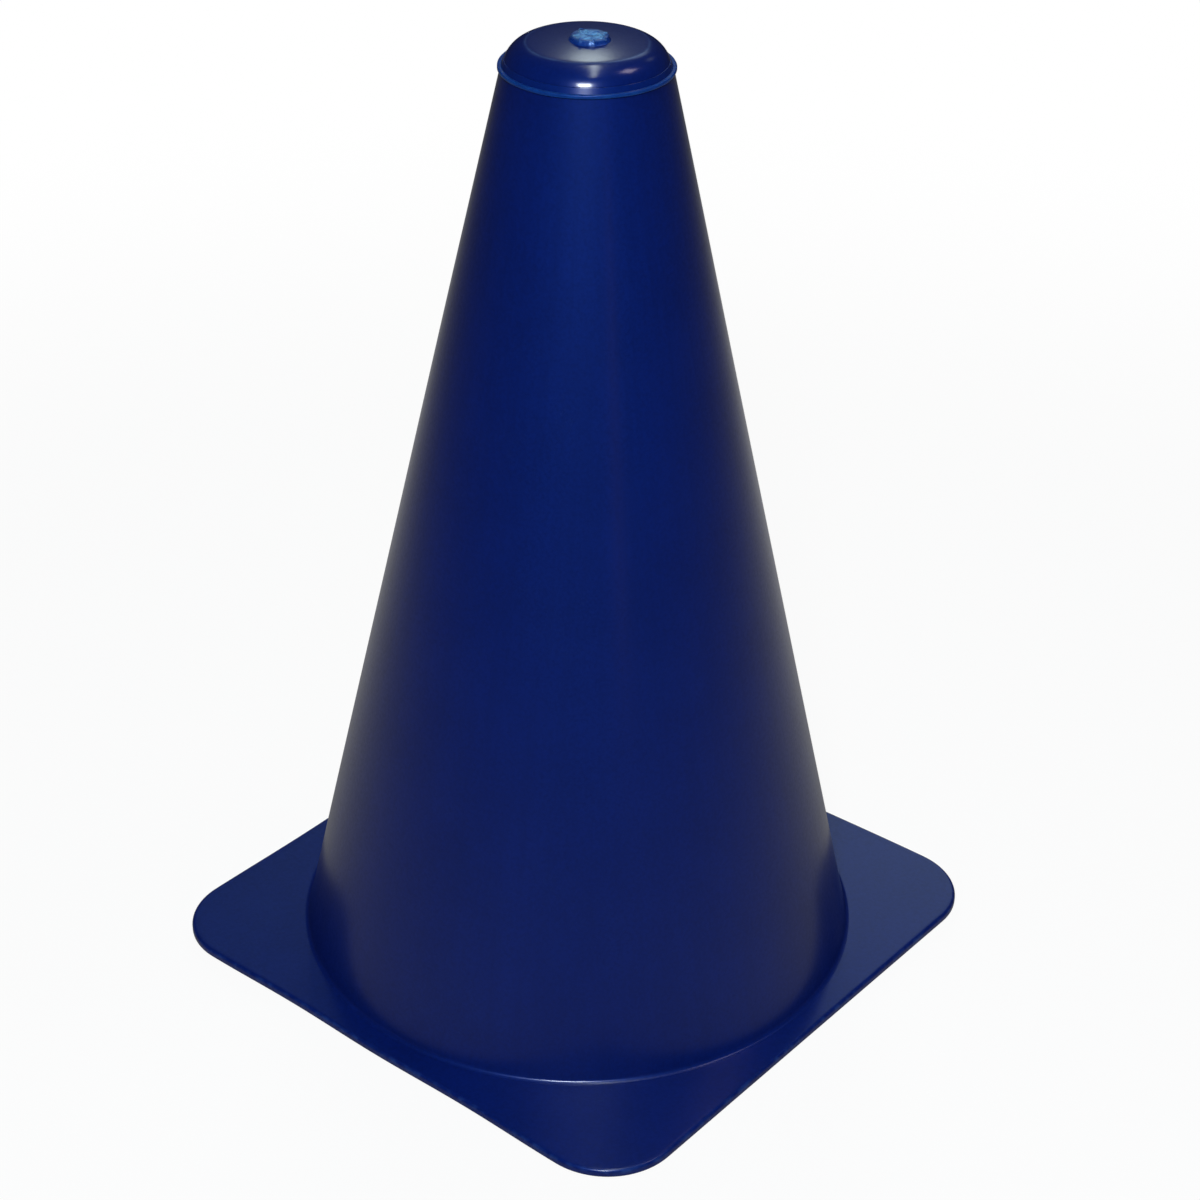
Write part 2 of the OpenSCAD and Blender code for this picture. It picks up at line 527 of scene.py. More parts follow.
class FlowMarks(Effect):
    """Faint streaks that run down the cone from the gate, the way the plastic flowed.

    Attributes:
        levels: Noise levels between which a streak sets in.
    """

    name = "flow_marks"
    inputs = {"Streaks": 26.0, "Reach": 60.0 * MM, "Share": 0.5}
    outputs = ("Amount",)
    levels: tuple[float, float] = (0.35, 0.75)

    @classmethod
    def work(cls, graph: Graph, given: dict[str, bpy.types.NodeSocket]) -> tuple[Value, ...]:
        """Noise on the unit direction away from the axis, stretched along the height.

        Args:
            graph: The group's own tree.
            given: The group's inputs by name.

        Returns:
            The amount.
        """
        level = graph.without_height(given["Position"])
        around = graph.scaled(graph.vector(Op.NORMALIZE, level), given["Streaks"])
        height = graph.node("ShaderNodeSeparateXYZ", {0: given["Position"]}).outputs[2]
        climb = graph.calc(Op.DIVIDE, height, given["Reach"])
        upright = graph.node("ShaderNodeCombineXYZ", {2: climb}).outputs[0]
        streak = graph.noise(graph.vector(Op.ADD, around, upright), size=1.0, detail=3.0, rough=0.55)
        return (graph.calc(Op.MULTIPLY, graph.step(streak, *cls.levels), given["Share"]),)


class Scuffs(Effect):
    """Sparse short scratches and rubbed patches from handling and stacking.

    Attributes:
        drawn_out: How much the noise is squeezed along x, y and z.
        crest: Distance from the noise's middle level at which a scratch starts, and where it is full.
        patches: Noise levels between which a patch sets in.
    """

    name = "scuffs"
    inputs = {"Scratch Size": 5.0 * MM, "Patch Size": 22.0 * MM, "Bend": 4.0 * MM, "Share": 0.2}
    outputs = ("Amount",)
    drawn_out: tuple[float, float, float] = (1.0, 6.0, 0.7)
    crest: tuple[float, float] = (0.012, 0.0)
    patches: tuple[float, float] = (0.52, 0.70)

    @classmethod
    def work(cls, graph: Graph, given: dict[str, bpy.types.NodeSocket]) -> tuple[Value, ...]:
        """Thin crests of a stretched, bent noise, kept only inside the patches of a larger noise.

        Args:
            graph: The group's own tree.
            given: The group's inputs by name.

        Returns:
            The amount.
        """
        bend = graph.noise_node(given["Position"], given["Scratch Size"], detail=2.0, rough=0.5)
        bent = graph.vector(Op.ADD, given["Position"], graph.scaled(bend.outputs[1], given["Bend"]))
        drawn = graph.vector(Op.MULTIPLY, bent, cls.drawn_out)
        value = graph.noise(drawn, given["Scratch Size"], detail=3.0, rough=0.6)
        off_crest = graph.calc(Op.ABSOLUTE, graph.calc(Op.SUBTRACT, value, 0.5))
        patch = graph.step(graph.noise(given["Position"], given["Patch Size"]), *cls.patches)
        kept = graph.calc(Op.MULTIPLY, graph.step(off_crest, *cls.crest), patch)
        return (graph.calc(Op.MULTIPLY, kept, given["Share"]),)


class TurningRings(Effect):
    """Fine rings that the turned mould leaves on the crown, as a height."""

    name = "turning_rings"
    inputs = {"Pitch": 0.5 * MM, "Patch Size": 3.0 * MM, "Depth": 0.001 * MM}
    outputs = ("Height",)

    @classmethod
    def work(cls, graph: Graph, given: dict[str, bpy.types.NodeSocket]) -> tuple[Value, ...]:
        """Height = depth * sine of the distance from the axis * noise.

        Args:
            graph: The group's own tree.
            given: The group's inputs by name.

        Returns:
            The height.
        """
        level = graph.without_height(given["Position"])
        count = graph.calc(Op.DIVIDE, graph.measure(Op.LENGTH, level), given["Pitch"])
        wave = graph.calc(Op.SINE, graph.calc(Op.MULTIPLY, count, TURN))
        patch = graph.noise(given["Position"], given["Patch Size"], detail=1.0)
        return (graph.calc(Op.MULTIPLY, graph.calc(Op.MULTIPLY, wave, patch), given["Depth"]),)


# Finishes


@dataclass(frozen=True)
class Plastic:
    """A finish of the moulded plastic: pigmented plastic under a clear, smoother skin.

    Attributes:
        name: Name of the material.
        base: Colour of the plastic.
        deep: Colour where the pigment lies thick.
        rubbed: Colour where edges and scratches are rubbed pale; on the crown's ridge it also paints a
            highlight.
        clear: Weight of the clear skin.
        skin: Roughness of the clear skin.
        roughness: Roughness of the pigmented plastic under it.
        uneven: How much that roughness varies.
        peel: Height of the orange peel.
        rings: Height of the turning rings.
        flow: Share of the flow marks in the colour.
        scuffed: Share of the scuffs.
        patchy: Noise levels between which the rubbing sets in.
        spot: Size of the rubbed spots.
        glow: Share of the light that scatters inside thin plastic.
        glow_depth: How far that light travels.
        glow_reach: Share of that way for red, green and blue.
        sheen: Strength of the pigmented plastic's own sheen.
        tint: Colour of that sheen, seen straight on.
        worn_rough: Roughness that full rubbing adds.
        worn_clear: Weight of the clear skin that full rubbing takes away.
        ior: How strongly the plastic bends light.
    """

    name: str
    base: Colour
    deep: Colour
    rubbed: Colour
    clear: float = 1.0
    skin: float = 0.22
    roughness: float = 0.45
    uneven: float = 0.06
    peel: float = 0.012 * MM
    rings: float = 0.0
    flow: float = 0.0
    scuffed: float = 0.2
    patchy: tuple[float, float] = (0.4, 0.7)
    spot: float = 2.2 * MM
    glow: float = 0.0
    glow_depth: float = 1.0 * MM
    glow_reach: Colour = (0.5, 0.8, 1.0)
    sheen: float = 0.65
    tint: Colour = (0.03, 0.19, 1.0)
    worn_rough: float = 0.15
    worn_clear: float = 0.45
    ior: float = 1.5

    def material(self) -> bpy.types.Material:
        """The node material of this finish.

        Returns:
            A material that reads Object coordinates and the attribute rub.
        """
        made = bpy.data.materials.new(self.name)
        graph = Graph.cleared(made)
        where = graph.node("ShaderNodeTexCoord").outputs["Object"]
        rub = graph.node("ShaderNodeAttribute", attribute_name="rub").outputs["Fac"]
        mottle = PigmentMottle.use(graph, where)
        scuffs = Scuffs.use(graph, where, Share=self.scuffed)
        colour = graph.blend(mottle, self.base, self.deep)
        if self.flow > 0.0:
            colour = graph.blend(FlowMarks.use(graph, where, Share=self.flow), colour, self.deep)
        spots = graph.step(graph.noise(where, self.spot, detail=3.0), *self.patchy)
        # Pale marks: real rubbing and scuffs, and on the crown's ridge also a painted highlight.
        pale = graph.calc(Op.MAXIMUM, graph.calc(Op.MULTIPLY, rub, spots), scuffs, clamp=True)
        spread = graph.calc(Op.MULTIPLY, graph.calc(Op.SUBTRACT, mottle, 0.5), self.uneven)
        rough = graph.calc(Op.ADD, graph.calc(Op.ADD, spread, self.roughness),
                           graph.calc(Op.MULTIPLY, pale, self.worn_rough), clamp=True)
        height = MouldGrain.use(graph, where, Depth=self.peel)
        if self.rings > 0.0:
            height = graph.calc(Op.ADD, height, TurningRings.use(graph, where, Depth=self.rings))
        bump = graph.node("ShaderNodeBump", {"Height": height, "Distance": 1.0, "Strength": 1.0})
        worn_off = graph.calc(Op.MULTIPLY, rub, self.worn_clear)
        shader = graph.node("ShaderNodeBsdfPrincipled", {
            "Base Color": graph.blend(pale, colour, self.rubbed),
            "Roughness": rough,
            "IOR": self.ior,
            "Specular IOR Level": self.sheen,
            "Specular Tint": self.tint,
            "Coat Weight": graph.calc(Op.SUBTRACT, self.clear, worn_off, clamp=True),
            "Coat Roughness": self.skin,
            "Coat IOR": self.ior,
            "Subsurface Weight": self.glow,
            "Subsurface Radius": self.glow_reach,
            "Subsurface Scale": self.glow_depth,
            "Normal": bump.outputs[0],
        })
        graph.node("ShaderNodeOutputMaterial", {"Surface": shader.outputs[0]})
        return made


BODY = Plastic(
    "body_satin", base=(0.0008, 0.0094, 0.124), deep=(0.0004, 0.0056, 0.080), rubbed=(0.010, 0.030, 0.160),
    clear=0.85, peel=0.015 * MM, flow=0.35,
)
PLATE = Plastic(
    "plate_satin", base=(0.0010, 0.0094, 0.122), deep=(0.0006, 0.0060, 0.082), rubbed=(0.013, 0.040, 0.180),
    clear=0.95, scuffed=0.35,
)
# The crown's pale rubbed colour also serves as a painted highlight along the ridge.
CAP = Plastic(
    "crown_gloss", base=(0.0010, 0.0095, 0.112), deep=(0.0006, 0.0070, 0.086), rubbed=(0.060, 0.120, 0.300),
    skin=0.17, roughness=0.40, uneven=0.04, peel=0.005 * MM, rings=0.0010 * MM, scuffed=0.05,
    patchy=(0.2, 0.55), sheen=0.3,
)
# Collar: a lighter copy of the crown's plastic, so the band is painted brighter, as if better lit; it is
# the same moulding.
BAND_PAINTED_LIGHTER = replace(CAP, name="collar_gloss", base=(0.0010, 0.0130, 0.132), deep=(0.0008, 0.0100, 0.104))
# Lip: the same blue plastic painted lighter and more cyan, a painted glow of light shining through the thin
# lip.
LIP_PAINTED_GLOW = Plastic(
    "lip_gloss", base=(0.0012, 0.0330, 0.205), deep=(0.0010, 0.0260, 0.165), rubbed=(0.006, 0.060, 0.250),
    clear=0.5, skin=0.30, peel=0.004 * MM, scuffed=0.05, glow=0.3, glow_depth=0.6 * MM,
)
# Gate stub: its base is painted brighter blue, a painted glow of light through the translucent plug; the
# pale rubbed colour is the torn crust's own colour.
TORN = Plastic(
    "torn_stub", base=(0.0040, 0.0330, 0.230), deep=(0.0030, 0.0240, 0.180), rubbed=(0.135, 0.330, 0.600),
    clear=0.5, skin=0.26, roughness=0.32, uneven=0.15, peel=0.015 * MM, scuffed=0.0, patchy=(0.30, 0.60),
    glow=0.3, glow_depth=0.8 * MM, sheen=0.9, tint=(0.1, 0.4, 1.0),
)


# The cone's lines


@dataclass(frozen=True)
class ConeLines:
    """Levels and radii that the regions share: read from the frame, or a few driving sizes.

    Attributes:
        half: Half the side of the base plate.
        plate_top: Level of the plate's upper face.
        wall_top: Level of the wall's upper edge.
        lip_top: Level of the lip's upper face.
        collar_top: Level of the collar's upper edge.
        crown_top: Highest level of the crown, which is the land of the gate.
        lip_radius: Outer radius of the lip.
        collar_radius: Outer radius of the collar's foot.
        stub_low: Level of the gate stub's foot. Not used.
        stub_high: Highest level of the gate stub.
        border: Width of the plate between the wall's foot line and the middle of a side.
        lip_out: How far the lip stands out from the wall's upper edge.
        wall_thick: Thickness of the wall.
        land_high: How far the gate's land stands above the dome.
        dome_rise: How far the dome rises above the ridge.
        crown_thick: Thickness of the crown in the middle.
        collar_in: How far the collar narrows from its foot to its top.
        seam: How far the crown's foot lies inside the collar's top.
    """

    half: float
    plate_top: float
    wall_top: float
    lip_top: float
    collar_top: float
    crown_top: float
    lip_radius: float
    collar_radius: float
    stub_low: float
    stub_high: float
    border: float = 6.0 * MM
    lip_out: float = 0.65 * MM
    wall_thick: float = 1.2 * MM
    land_high: float = 0.1 * MM
    dome_rise: float = 0.45 * MM
    crown_thick: float = 1.8 * MM
    collar_in: float = 0.55 * MM
    seam: float = 0.15 * MM

    @classmethod
    def from_frame(cls) -> "ConeLines":
        """Reads the levels and radii from the boxes of the CAD nodes.

        Returns:
            The lines.
        """
        box = {name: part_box(name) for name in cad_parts}
        return cls(
            half=box["base_plate"][1].x,
            plate_top=box["base_plate"][1].z,
            wall_top=box["cone_wall"][1].z,
            lip_top=box["lip_ring"][1].z,
            collar_top=box["collar"][1].z,
            crown_top=box["crown"][1].z,
            lip_radius=box["lip_ring"][1].x,
            collar_radius=box["collar"][1].x,
            stub_low=box["gate_stub"][0].z,
            stub_high=box["gate_stub"][1].z,
        )

    @property
    def top_radius(self) -> float:
        """Outer radius of the wall at its upper edge."""
        return self.lip_radius - self.lip_out

    @property
    def slope(self) -> float:
        """How much the wall's radius shrinks for each metre of height."""
        return (self.half - self.border - self.top_radius) / (self.wall_top - self.plate_top)

    @property
    def lean(self) -> float:
        """Angle of the wall off the vertical."""
        return math.atan(self.slope)

    @property
    def collar_head(self) -> float:
        """Radius of the collar at its top."""
        return self.collar_radius - self.collar_in

    @property
    def dome_top(self) -> float:
        """Level of the dome's middle."""
        return self.crown_top - self.land_high

    @property
    def ridge(self) -> float:
        """Level where the shoulder ends and the dome starts."""
        return self.dome_top - self.dome_rise

    @property
    def hollow_top(self) -> float:
        """Level of the crown's flat underside."""
        return self.dome_top - self.crown_thick

    @property
    def inner_round(self) -> float:
        """Radius of the hollow's round corner: it touches the wall's inner face and the flat underside."""
        return (self.hollow_top - self.lip_top) / (1.0 - math.sin(self.lean))

    @property
    def inner_middle(self) -> tuple[float, float]:
        """Middle of that round corner, as radius and height."""
        across = self.face(self.lip_top, self.wall_thick) - self.inner_round * math.cos(self.lean)
        return across, self.hollow_top - self.inner_round

    @property
    def inner_bend(self) -> float:
        """Angle that the round corner has reached at the collar's top."""
        return math.asin((self.collar_top - self.inner_middle[1]) / self.inner_round)

    def face(self, height: float, depth: float = 0.0) -> float:
        """Radius, at a height, of the face that lies a depth inside the wall's outer face."""
        foot = self.half - self.border
        return foot - self.slope * (height - self.plate_top) - depth / math.cos(self.lean)

    def set_off(self, radius: float) -> float:
        """How far outside the wall's line a round has its middle, if it touches that line and a level."""
        return radius / math.tan(TURN / 8.0 + self.lean / 2.0)

    def inner_at(self, bend: float) -> float:
        """Radius of the hollow's round corner at an angle of its bend."""
        return self.inner_middle[0] + self.inner_round * math.cos(bend)


# The pieces


@dataclass
class Region:
    """A region of the moulding: builds its closed surface, dresses it and places it in the frame.

    Attributes:
        lines: The levels and radii that the regions share.
        name: Name of the piece.
        node: CAD node that the piece replaces.
        slot: Material slot of the record. Not used.
        finish: Finish of the piece.
        crease: Angle from which an edge stays sharp.
        lean_by: How far the soft moulding's top stands aside.
        lean_way: Bearing of that side, round the axis.
        lean_from: Level from which it leans.
    """

    lines: ConeLines
    name: str = ""
    node: str = ""
    slot: str = ""
    finish: Plastic = BODY
    crease: float = math.radians(35.0)
    lean_by: float = 0.22 * MM
    lean_way: float = math.radians(39.3)
    lean_from: float = 100.0 * MM

    def skins(self) -> list[Skin]:
        """The closed surfaces of the region."""
        raise NotImplementedError

    def build(self) -> bpy.types.Object:
        """Makes the piece's mesh, moved aside by a smooth step of the height, and ties it to the frame.

        Returns:
            The piece.
        """
        skins = self.skins()
        for skin in skins:
            aside = self.lean_by * smooth(self.lean_from, self.lines.wall_top, skin.points[..., 2])
            skin.points[..., 0] += math.cos(self.lean_way) * aside
            skin.points[..., 1] += math.sin(self.lean_way) * aside
        piece = mesh_object(self.name, skins, self.crease)
        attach(piece, "root")
        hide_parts(self.node)
        return piece

    def dress(self, piece: bpy.types.Object, made: dict[str, bpy.types.Material]) -> None:
        """Gives the piece its material, made on first use.

        Args:
            piece: The piece.
            made: Materials made so far, by name.
        """
        if self.finish.name not in made:
            made[self.finish.name] = self.finish.material()
        piece.data.materials.append(made[self.finish.name])


@dataclass
class BasePlate(Region):
    """Square plate with round corners and edges, sides that bow a little, and the open mouth.

    Attributes:
        corner: Radius of the plate's corners.
        edge_round: Radius of its upper edge.
        sole_round: Radius of its lower edge.
        mouth_round: Radius of the mouth's lower edge.
        bows: How far each side's middle is drawn in, and its ripple's depth, from the +X side round.
        straight_steps: Points along a side.
        corner_steps: Points round a corner.
        top_steps: Steps across the upper face.
        low_steps: Steps across the underside.
        edge_steps: Points of each larger round edge.
        sole_steps: Points of the lower edge.
        worn: Rub half way up the outer edge.
        nick_at: Place of the nick in the front edge.
        nick_size: Its radius.
        nick_depth: Its depth.
        nick_low: Level down to which it reaches.
        nick_rub: Rub in its middle.
    """

    name: str = "plate_moulded"
    node: str = "base_plate"
    slot: str = "body_plastic"
    finish: Plastic = PLATE
    corner: float = 18.0 * MM
    edge_round: float = 0.8 * MM
    sole_round: float = 0.4 * MM
    mouth_round: float = 1.0 * MM
    bows: tuple[tuple[float, float], ...] = (
        (0.0, 0.0), (0.9 * MM, 0.0), (0.0, 0.25 * MM), (0.0, 0.45 * MM),
    )
    straight_steps: int = 72
    corner_steps: int = 24
    top_steps: int = 26
    low_steps: int = 8
    edge_steps: int = 7
    sole_steps: int = 5
    worn: float = 0.8
    nick_at: tuple[float, float] = (31.8 * MM, -74.0 * MM)
    nick_size: float = 0.9 * MM
    nick_depth: float = 0.22 * MM
    nick_low: float = 0.8 * MM
    nick_rub: float = 2.0

    def outline(self, inset: np.ndarray) -> tuple[np.ndarray, np.ndarray]:
        """Rounded square whose sides lie inset from the plate's: straight sides and quarter circles.

        Each side is drawn in by b (1 - cos(2 pi u)) / 2 and by a ripple c (1 - cos(4 pi u)) / 2, for the
        share u of its length.

        Args:
            inset: Distance inside the plate's outline, one for each row.

        Returns:
            X and y, each rows by columns.
        """
        reach = self.lines.half - self.corner
        share = np.arange(self.straight_steps) / self.straight_steps
        quarter = np.arange(self.corner_steps) / self.corner_steps * (TURN / 4.0)
        still = np.zeros(self.corner_steps)
        out_x = np.concatenate([np.ones(self.straight_steps), np.cos(quarter)])
        out_y = np.concatenate([np.zeros(self.straight_steps), np.sin(quarter)])
        middle_y = np.concatenate([-reach + 2.0 * reach * share, still + reach])
        drawn = np.concatenate([(1.0 - np.cos(TURN * share)) / 2.0, still])
        ripple = np.concatenate([(1.0 - np.cos(2.0 * TURN * share)) / 2.0, still])
        xs, ys = [], []
        for side, (bowed, rippled) in enumerate(self.bows):
            radius = self.corner - inset[:, None] - bowed * drawn - rippled * ripple
            x, y = reach + radius * out_x, middle_y + radius * out_y
            turn = side * TURN / 4.0
            xs.append(x * math.cos(turn) - y * math.sin(turn))
            ys.append(x * math.sin(turn) + y * math.cos(turn))
        return np.hstack(xs), np.hstack(ys)

    def rim(self) -> np.ndarray:
        """Section of the outer edge, as inset and height: lower round, side, and upper round.

        Returns:
            Array of rows by 2.
        """
        start = self.lines.plate_top - self.edge_round
        sole = arc((self.sole_round,) * 2, self.sole_round, -TURN / 4.0, -TURN / 2.0, self.sole_steps)
        side = line((0.0, self.sole_round), (0.0, start), steps=3)
        edge = arc((self.edge_round, start), self.edge_round, -TURN / 2.0, -0.75 * TURN, self.edge_steps)
        return np.vstack([sole, side, edge, [[self.edge_round, self.lines.plate_top]]])

    def mouth(self) -> np.ndarray:
        """Section of the mouth: the wall's inner line, its lower round and the start of the underside.

        Returns:
            Array of rows by 2, as radius and height.
        """
        lines, top = self.lines, self.lines.plate_top
        across = lines.face(0.0, lines.wall_thick) + lines.set_off(self.mouth_round)
        middle = (across, self.mouth_round)
        bend = arc(middle, self.mouth_round, TURN / 2.0 + lines.lean, 0.75 * TURN, self.edge_steps)
        fall = line((lines.face(top, lines.wall_thick), top), tuple(bend[0]), steps=3)
        return np.vstack([fall, bend, [[across, 0.0]]])

    @staticmethod
    def between(first: np.ndarray, last: np.ndarray, steps: int) -> np.ndarray:
        """Rings between a first and a last one, each the mix (1 - s) first + s last.

        Args:
            first: Ring of points by 3.
            last: Ring of the same number of points.
            steps: Steps from the first to the last.

        Returns:
            Array of steps - 1 by points by 3.
        """
        share = (np.arange(1, steps) / steps)[:, None, None]
        return (1.0 - share) * first + share * last

    def skins(self) -> list[Skin]:
        """One closed surface: the outer edge, the upper face, the mouth and the underside, carried round.

        On the flat faces a point is the mix of a mouth point and an outline point at the same bearing.

        Returns:
            The one closed surface.
        """
        rim, mouth = self.rim(), self.mouth()
        x, y = self.outline(rim[:, 0])
        outer = np.stack([x, y, np.broadcast_to(rim[:, 1:], x.shape)], -1)
        inner = turned(mouth, np.arctan2(y[-1], x[-1]))
        top_face = self.between(outer[-1], inner[0], self.top_steps)
        low_face = self.between(inner[-1], outer[0], self.low_steps)
        points = np.concatenate([outer, top_face, inner, low_face])
        rub = np.zeros(points.shape[:2])
        edge = slice(self.sole_steps - 1, len(rim))
        up = np.linspace(-1.0, 1.0, edge.stop - edge.start)[:, None]
        rub[edge] = self.worn * smooth(0.0, 1.0, 1.0 - np.abs(up))
        away = np.hypot(points[..., 0] - self.nick_at[0], points[..., 1] - self.nick_at[1])
        dent = np.exp(-((away / self.nick_size) ** 2)) * (points[..., 2] > self.nick_low)
        points[..., 1] += dent * self.nick_depth
        points[..., 2] -= dent * self.nick_depth
        return [Skin(points, True, np.maximum(rub, dent * self.nick_rub))]


@dataclass
class ConeWall(Region):
    """Tapered hollow wall, a little out of round between its ends, with the fillet at its foot.

    Attributes:
        columns: Points round the axis.
        outer_steps: Rows on the outer face.
        inner_steps: Rows on the inner face.
        fillet: Radius of the fillet.
        toe: Height of the fillet's upright toe.
        swell: How far the wall is out of round.
        swell_waves: Waves of that swell in one turn, and their phases.
        twist: How far those waves turn from the foot to the top.
    """

    name: str = "wall_moulded"
    node: str = "cone_wall"
    slot: str = "body_plastic"
    finish: Plastic = BODY
    columns: int = 480
    outer_steps: int = 96
    inner_steps: int = 48
    fillet: float = 1.2 * MM
    toe: float = 0.05 * MM
    swell: float = 0.10 * MM
    swell_waves: Ripple = ((2, 3, 5), (0.4, 2.1, 4.0))
    twist: float = 2.0

    def skins(self) -> list[Skin]:
        """Closed section of toe, fillet, outer face, top edge, inner face and foot, carried round.

        Both faces share a swell of a few waves, r + a sin^2(pi s) w(t, s), that dies out at both ends.

        Returns:
            The one closed surface.
        """
        lines, turn = self.lines, angles(self.columns)
        low, high = lines.plate_top, lines.wall_top
        across = lines.face(low + self.toe) + lines.set_off(self.fillet)
        middle = (across, low + self.toe + self.fillet)
        end = np.asarray(middle) - self.fillet * np.array([math.cos(lines.lean), math.sin(lines.lean)])
        inner_low, inner_high = lines.face(low, lines.wall_thick), lines.face(high, lines.wall_thick)
        section = np.vstack([
            [[across, low]],
            arc(middle, self.fillet, 0.75 * TURN, TURN / 2.0 + lines.lean, steps=9),
            line(tuple(end), (lines.top_radius, high), self.outer_steps),
            line((lines.top_radius, high), (inner_high, high), steps=3),
            line((inner_high, high), (inner_low, low), self.inner_steps),
            line((inner_low, low), (across, low), steps=4)[1:],
        ])
        share = (section[:, 1:] - low) / (high - low)
        ripple = waves(turn + self.twist * share, self.swell_waves)
        out = self.swell * np.sin(math.pi * share) ** 2 * ripple
        return [Skin(turned(section, turn, out), True)]


@dataclass
class LipRing(Region):
    """Thin lip at the mould's parting line, with an edge that wanders as flash does.

    Attributes:
        columns: Points round the axis.
        edge_round: Radius of its two edges.
        wander: How far its reach wanders.
        wander_waves: Waves of that in one turn, and their phases.
        sway: How far its level sways.
        sway_waves: Waves of that in one turn, and their phases.
        root: How deep inside the wall's outer face the unevenness starts.
        worn: Rub at its outermost line.
        worn_from: Share of the way out from which it is rubbed.
    """

    name: str = "lip_flash"
    node: str = "lip_ring"
    slot: str = "lip_plastic"
    finish: Plastic = LIP_PAINTED_GLOW
    columns: int = 480
    edge_round: float = 0.22 * MM
    wander: float = 0.08 * MM
    wander_waves: Ripple = ((2, 5, 9, 17), (0.3, 1.9, 2.6, 4.4))
    sway: float = 0.04 * MM
    sway_waves: Ripple = ((2, 5, 11), (1.0, 3.0, 0.2))
    root: float = 0.2 * MM
    worn: float = 0.4
    worn_from: float = 0.7

    def skins(self) -> list[Skin]:
        """Closed section with rounded edges whose reach and level wander by waves round the ring.

        Returns:
            The one closed surface.
        """
        lines, turn, edge = self.lines, angles(self.columns), self.edge_round
        low, high = lines.wall_top, lines.lip_top
        reach, start = lines.lip_radius, lines.lip_radius - edge
        inner = lines.face(low, lines.wall_thick), lines.face(high, lines.wall_thick)
        section = np.vstack([
            line((inner[0], low), (start, low), steps=6),
            arc((start, low + edge), edge, -TURN / 4.0, 0.0, steps=7),
            line((reach, low + edge), (reach, high - edge), steps=4),
            arc((start, high - edge), edge, 0.0, TURN / 4.0, steps=7),
            line((start, high), (inner[1], high), steps=6),
            line((inner[1], high), (inner[0], low), steps=3),
        ])
        out = smooth(lines.top_radius - self.root, reach, section[:, :1])
        drawn_in = -out * self.wander * (0.5 + 0.5 * waves(turn, self.wander_waves))
        lifted = out * self.sway * waves(turn, self.sway_waves)
        rub = np.broadcast_to(self.worn * smooth(self.worn_from, 1.0, out), (len(section), self.columns))
        return [Skin(turned(section, turn, drawn_in, lifted), True, rub)]


@dataclass
class CollarBand(Region):
    """Short steep band above the lip, with a fine rounded step to the crown.

    Attributes:
        columns: Points round the axis.
        step_round: Radius of its upper edge.
    """

    name: str = "collar_band"
    node: str = "collar"
    slot: str = "crown_plastic"
    finish: Plastic = BAND_PAINTED_LIGHTER
    columns: int = 360
    step_round: float = 0.06 * MM

    def skins(self) -> list[Skin]:
        """Closed section: steep outer side, round edge, top, inside corner and foot.

        Returns:
            The one closed surface.
        """
        lines, low, high = self.lines, self.lines.lip_top, self.lines.collar_top
        foot, head = lines.collar_radius, lines.collar_head
        steep = math.atan2(foot - head - self.step_round, high - low - self.step_round)
        edge = arc((head, high - self.step_round), self.step_round, steep, TURN / 4.0, steps=12)
        section = np.vstack([
            line((foot, low), tuple(edge[0]), steps=8),
            edge,
            line((head, high), (lines.inner_at(lines.inner_bend), high), steps=4),
            arc(lines.inner_middle, lines.inner_round, lines.inner_bend, lines.lean, steps=10),
            line((lines.inner_at(lines.lean), low), (foot, low), steps=4),
        ])
        return [Skin(turned(section, angles(self.columns)), True)]


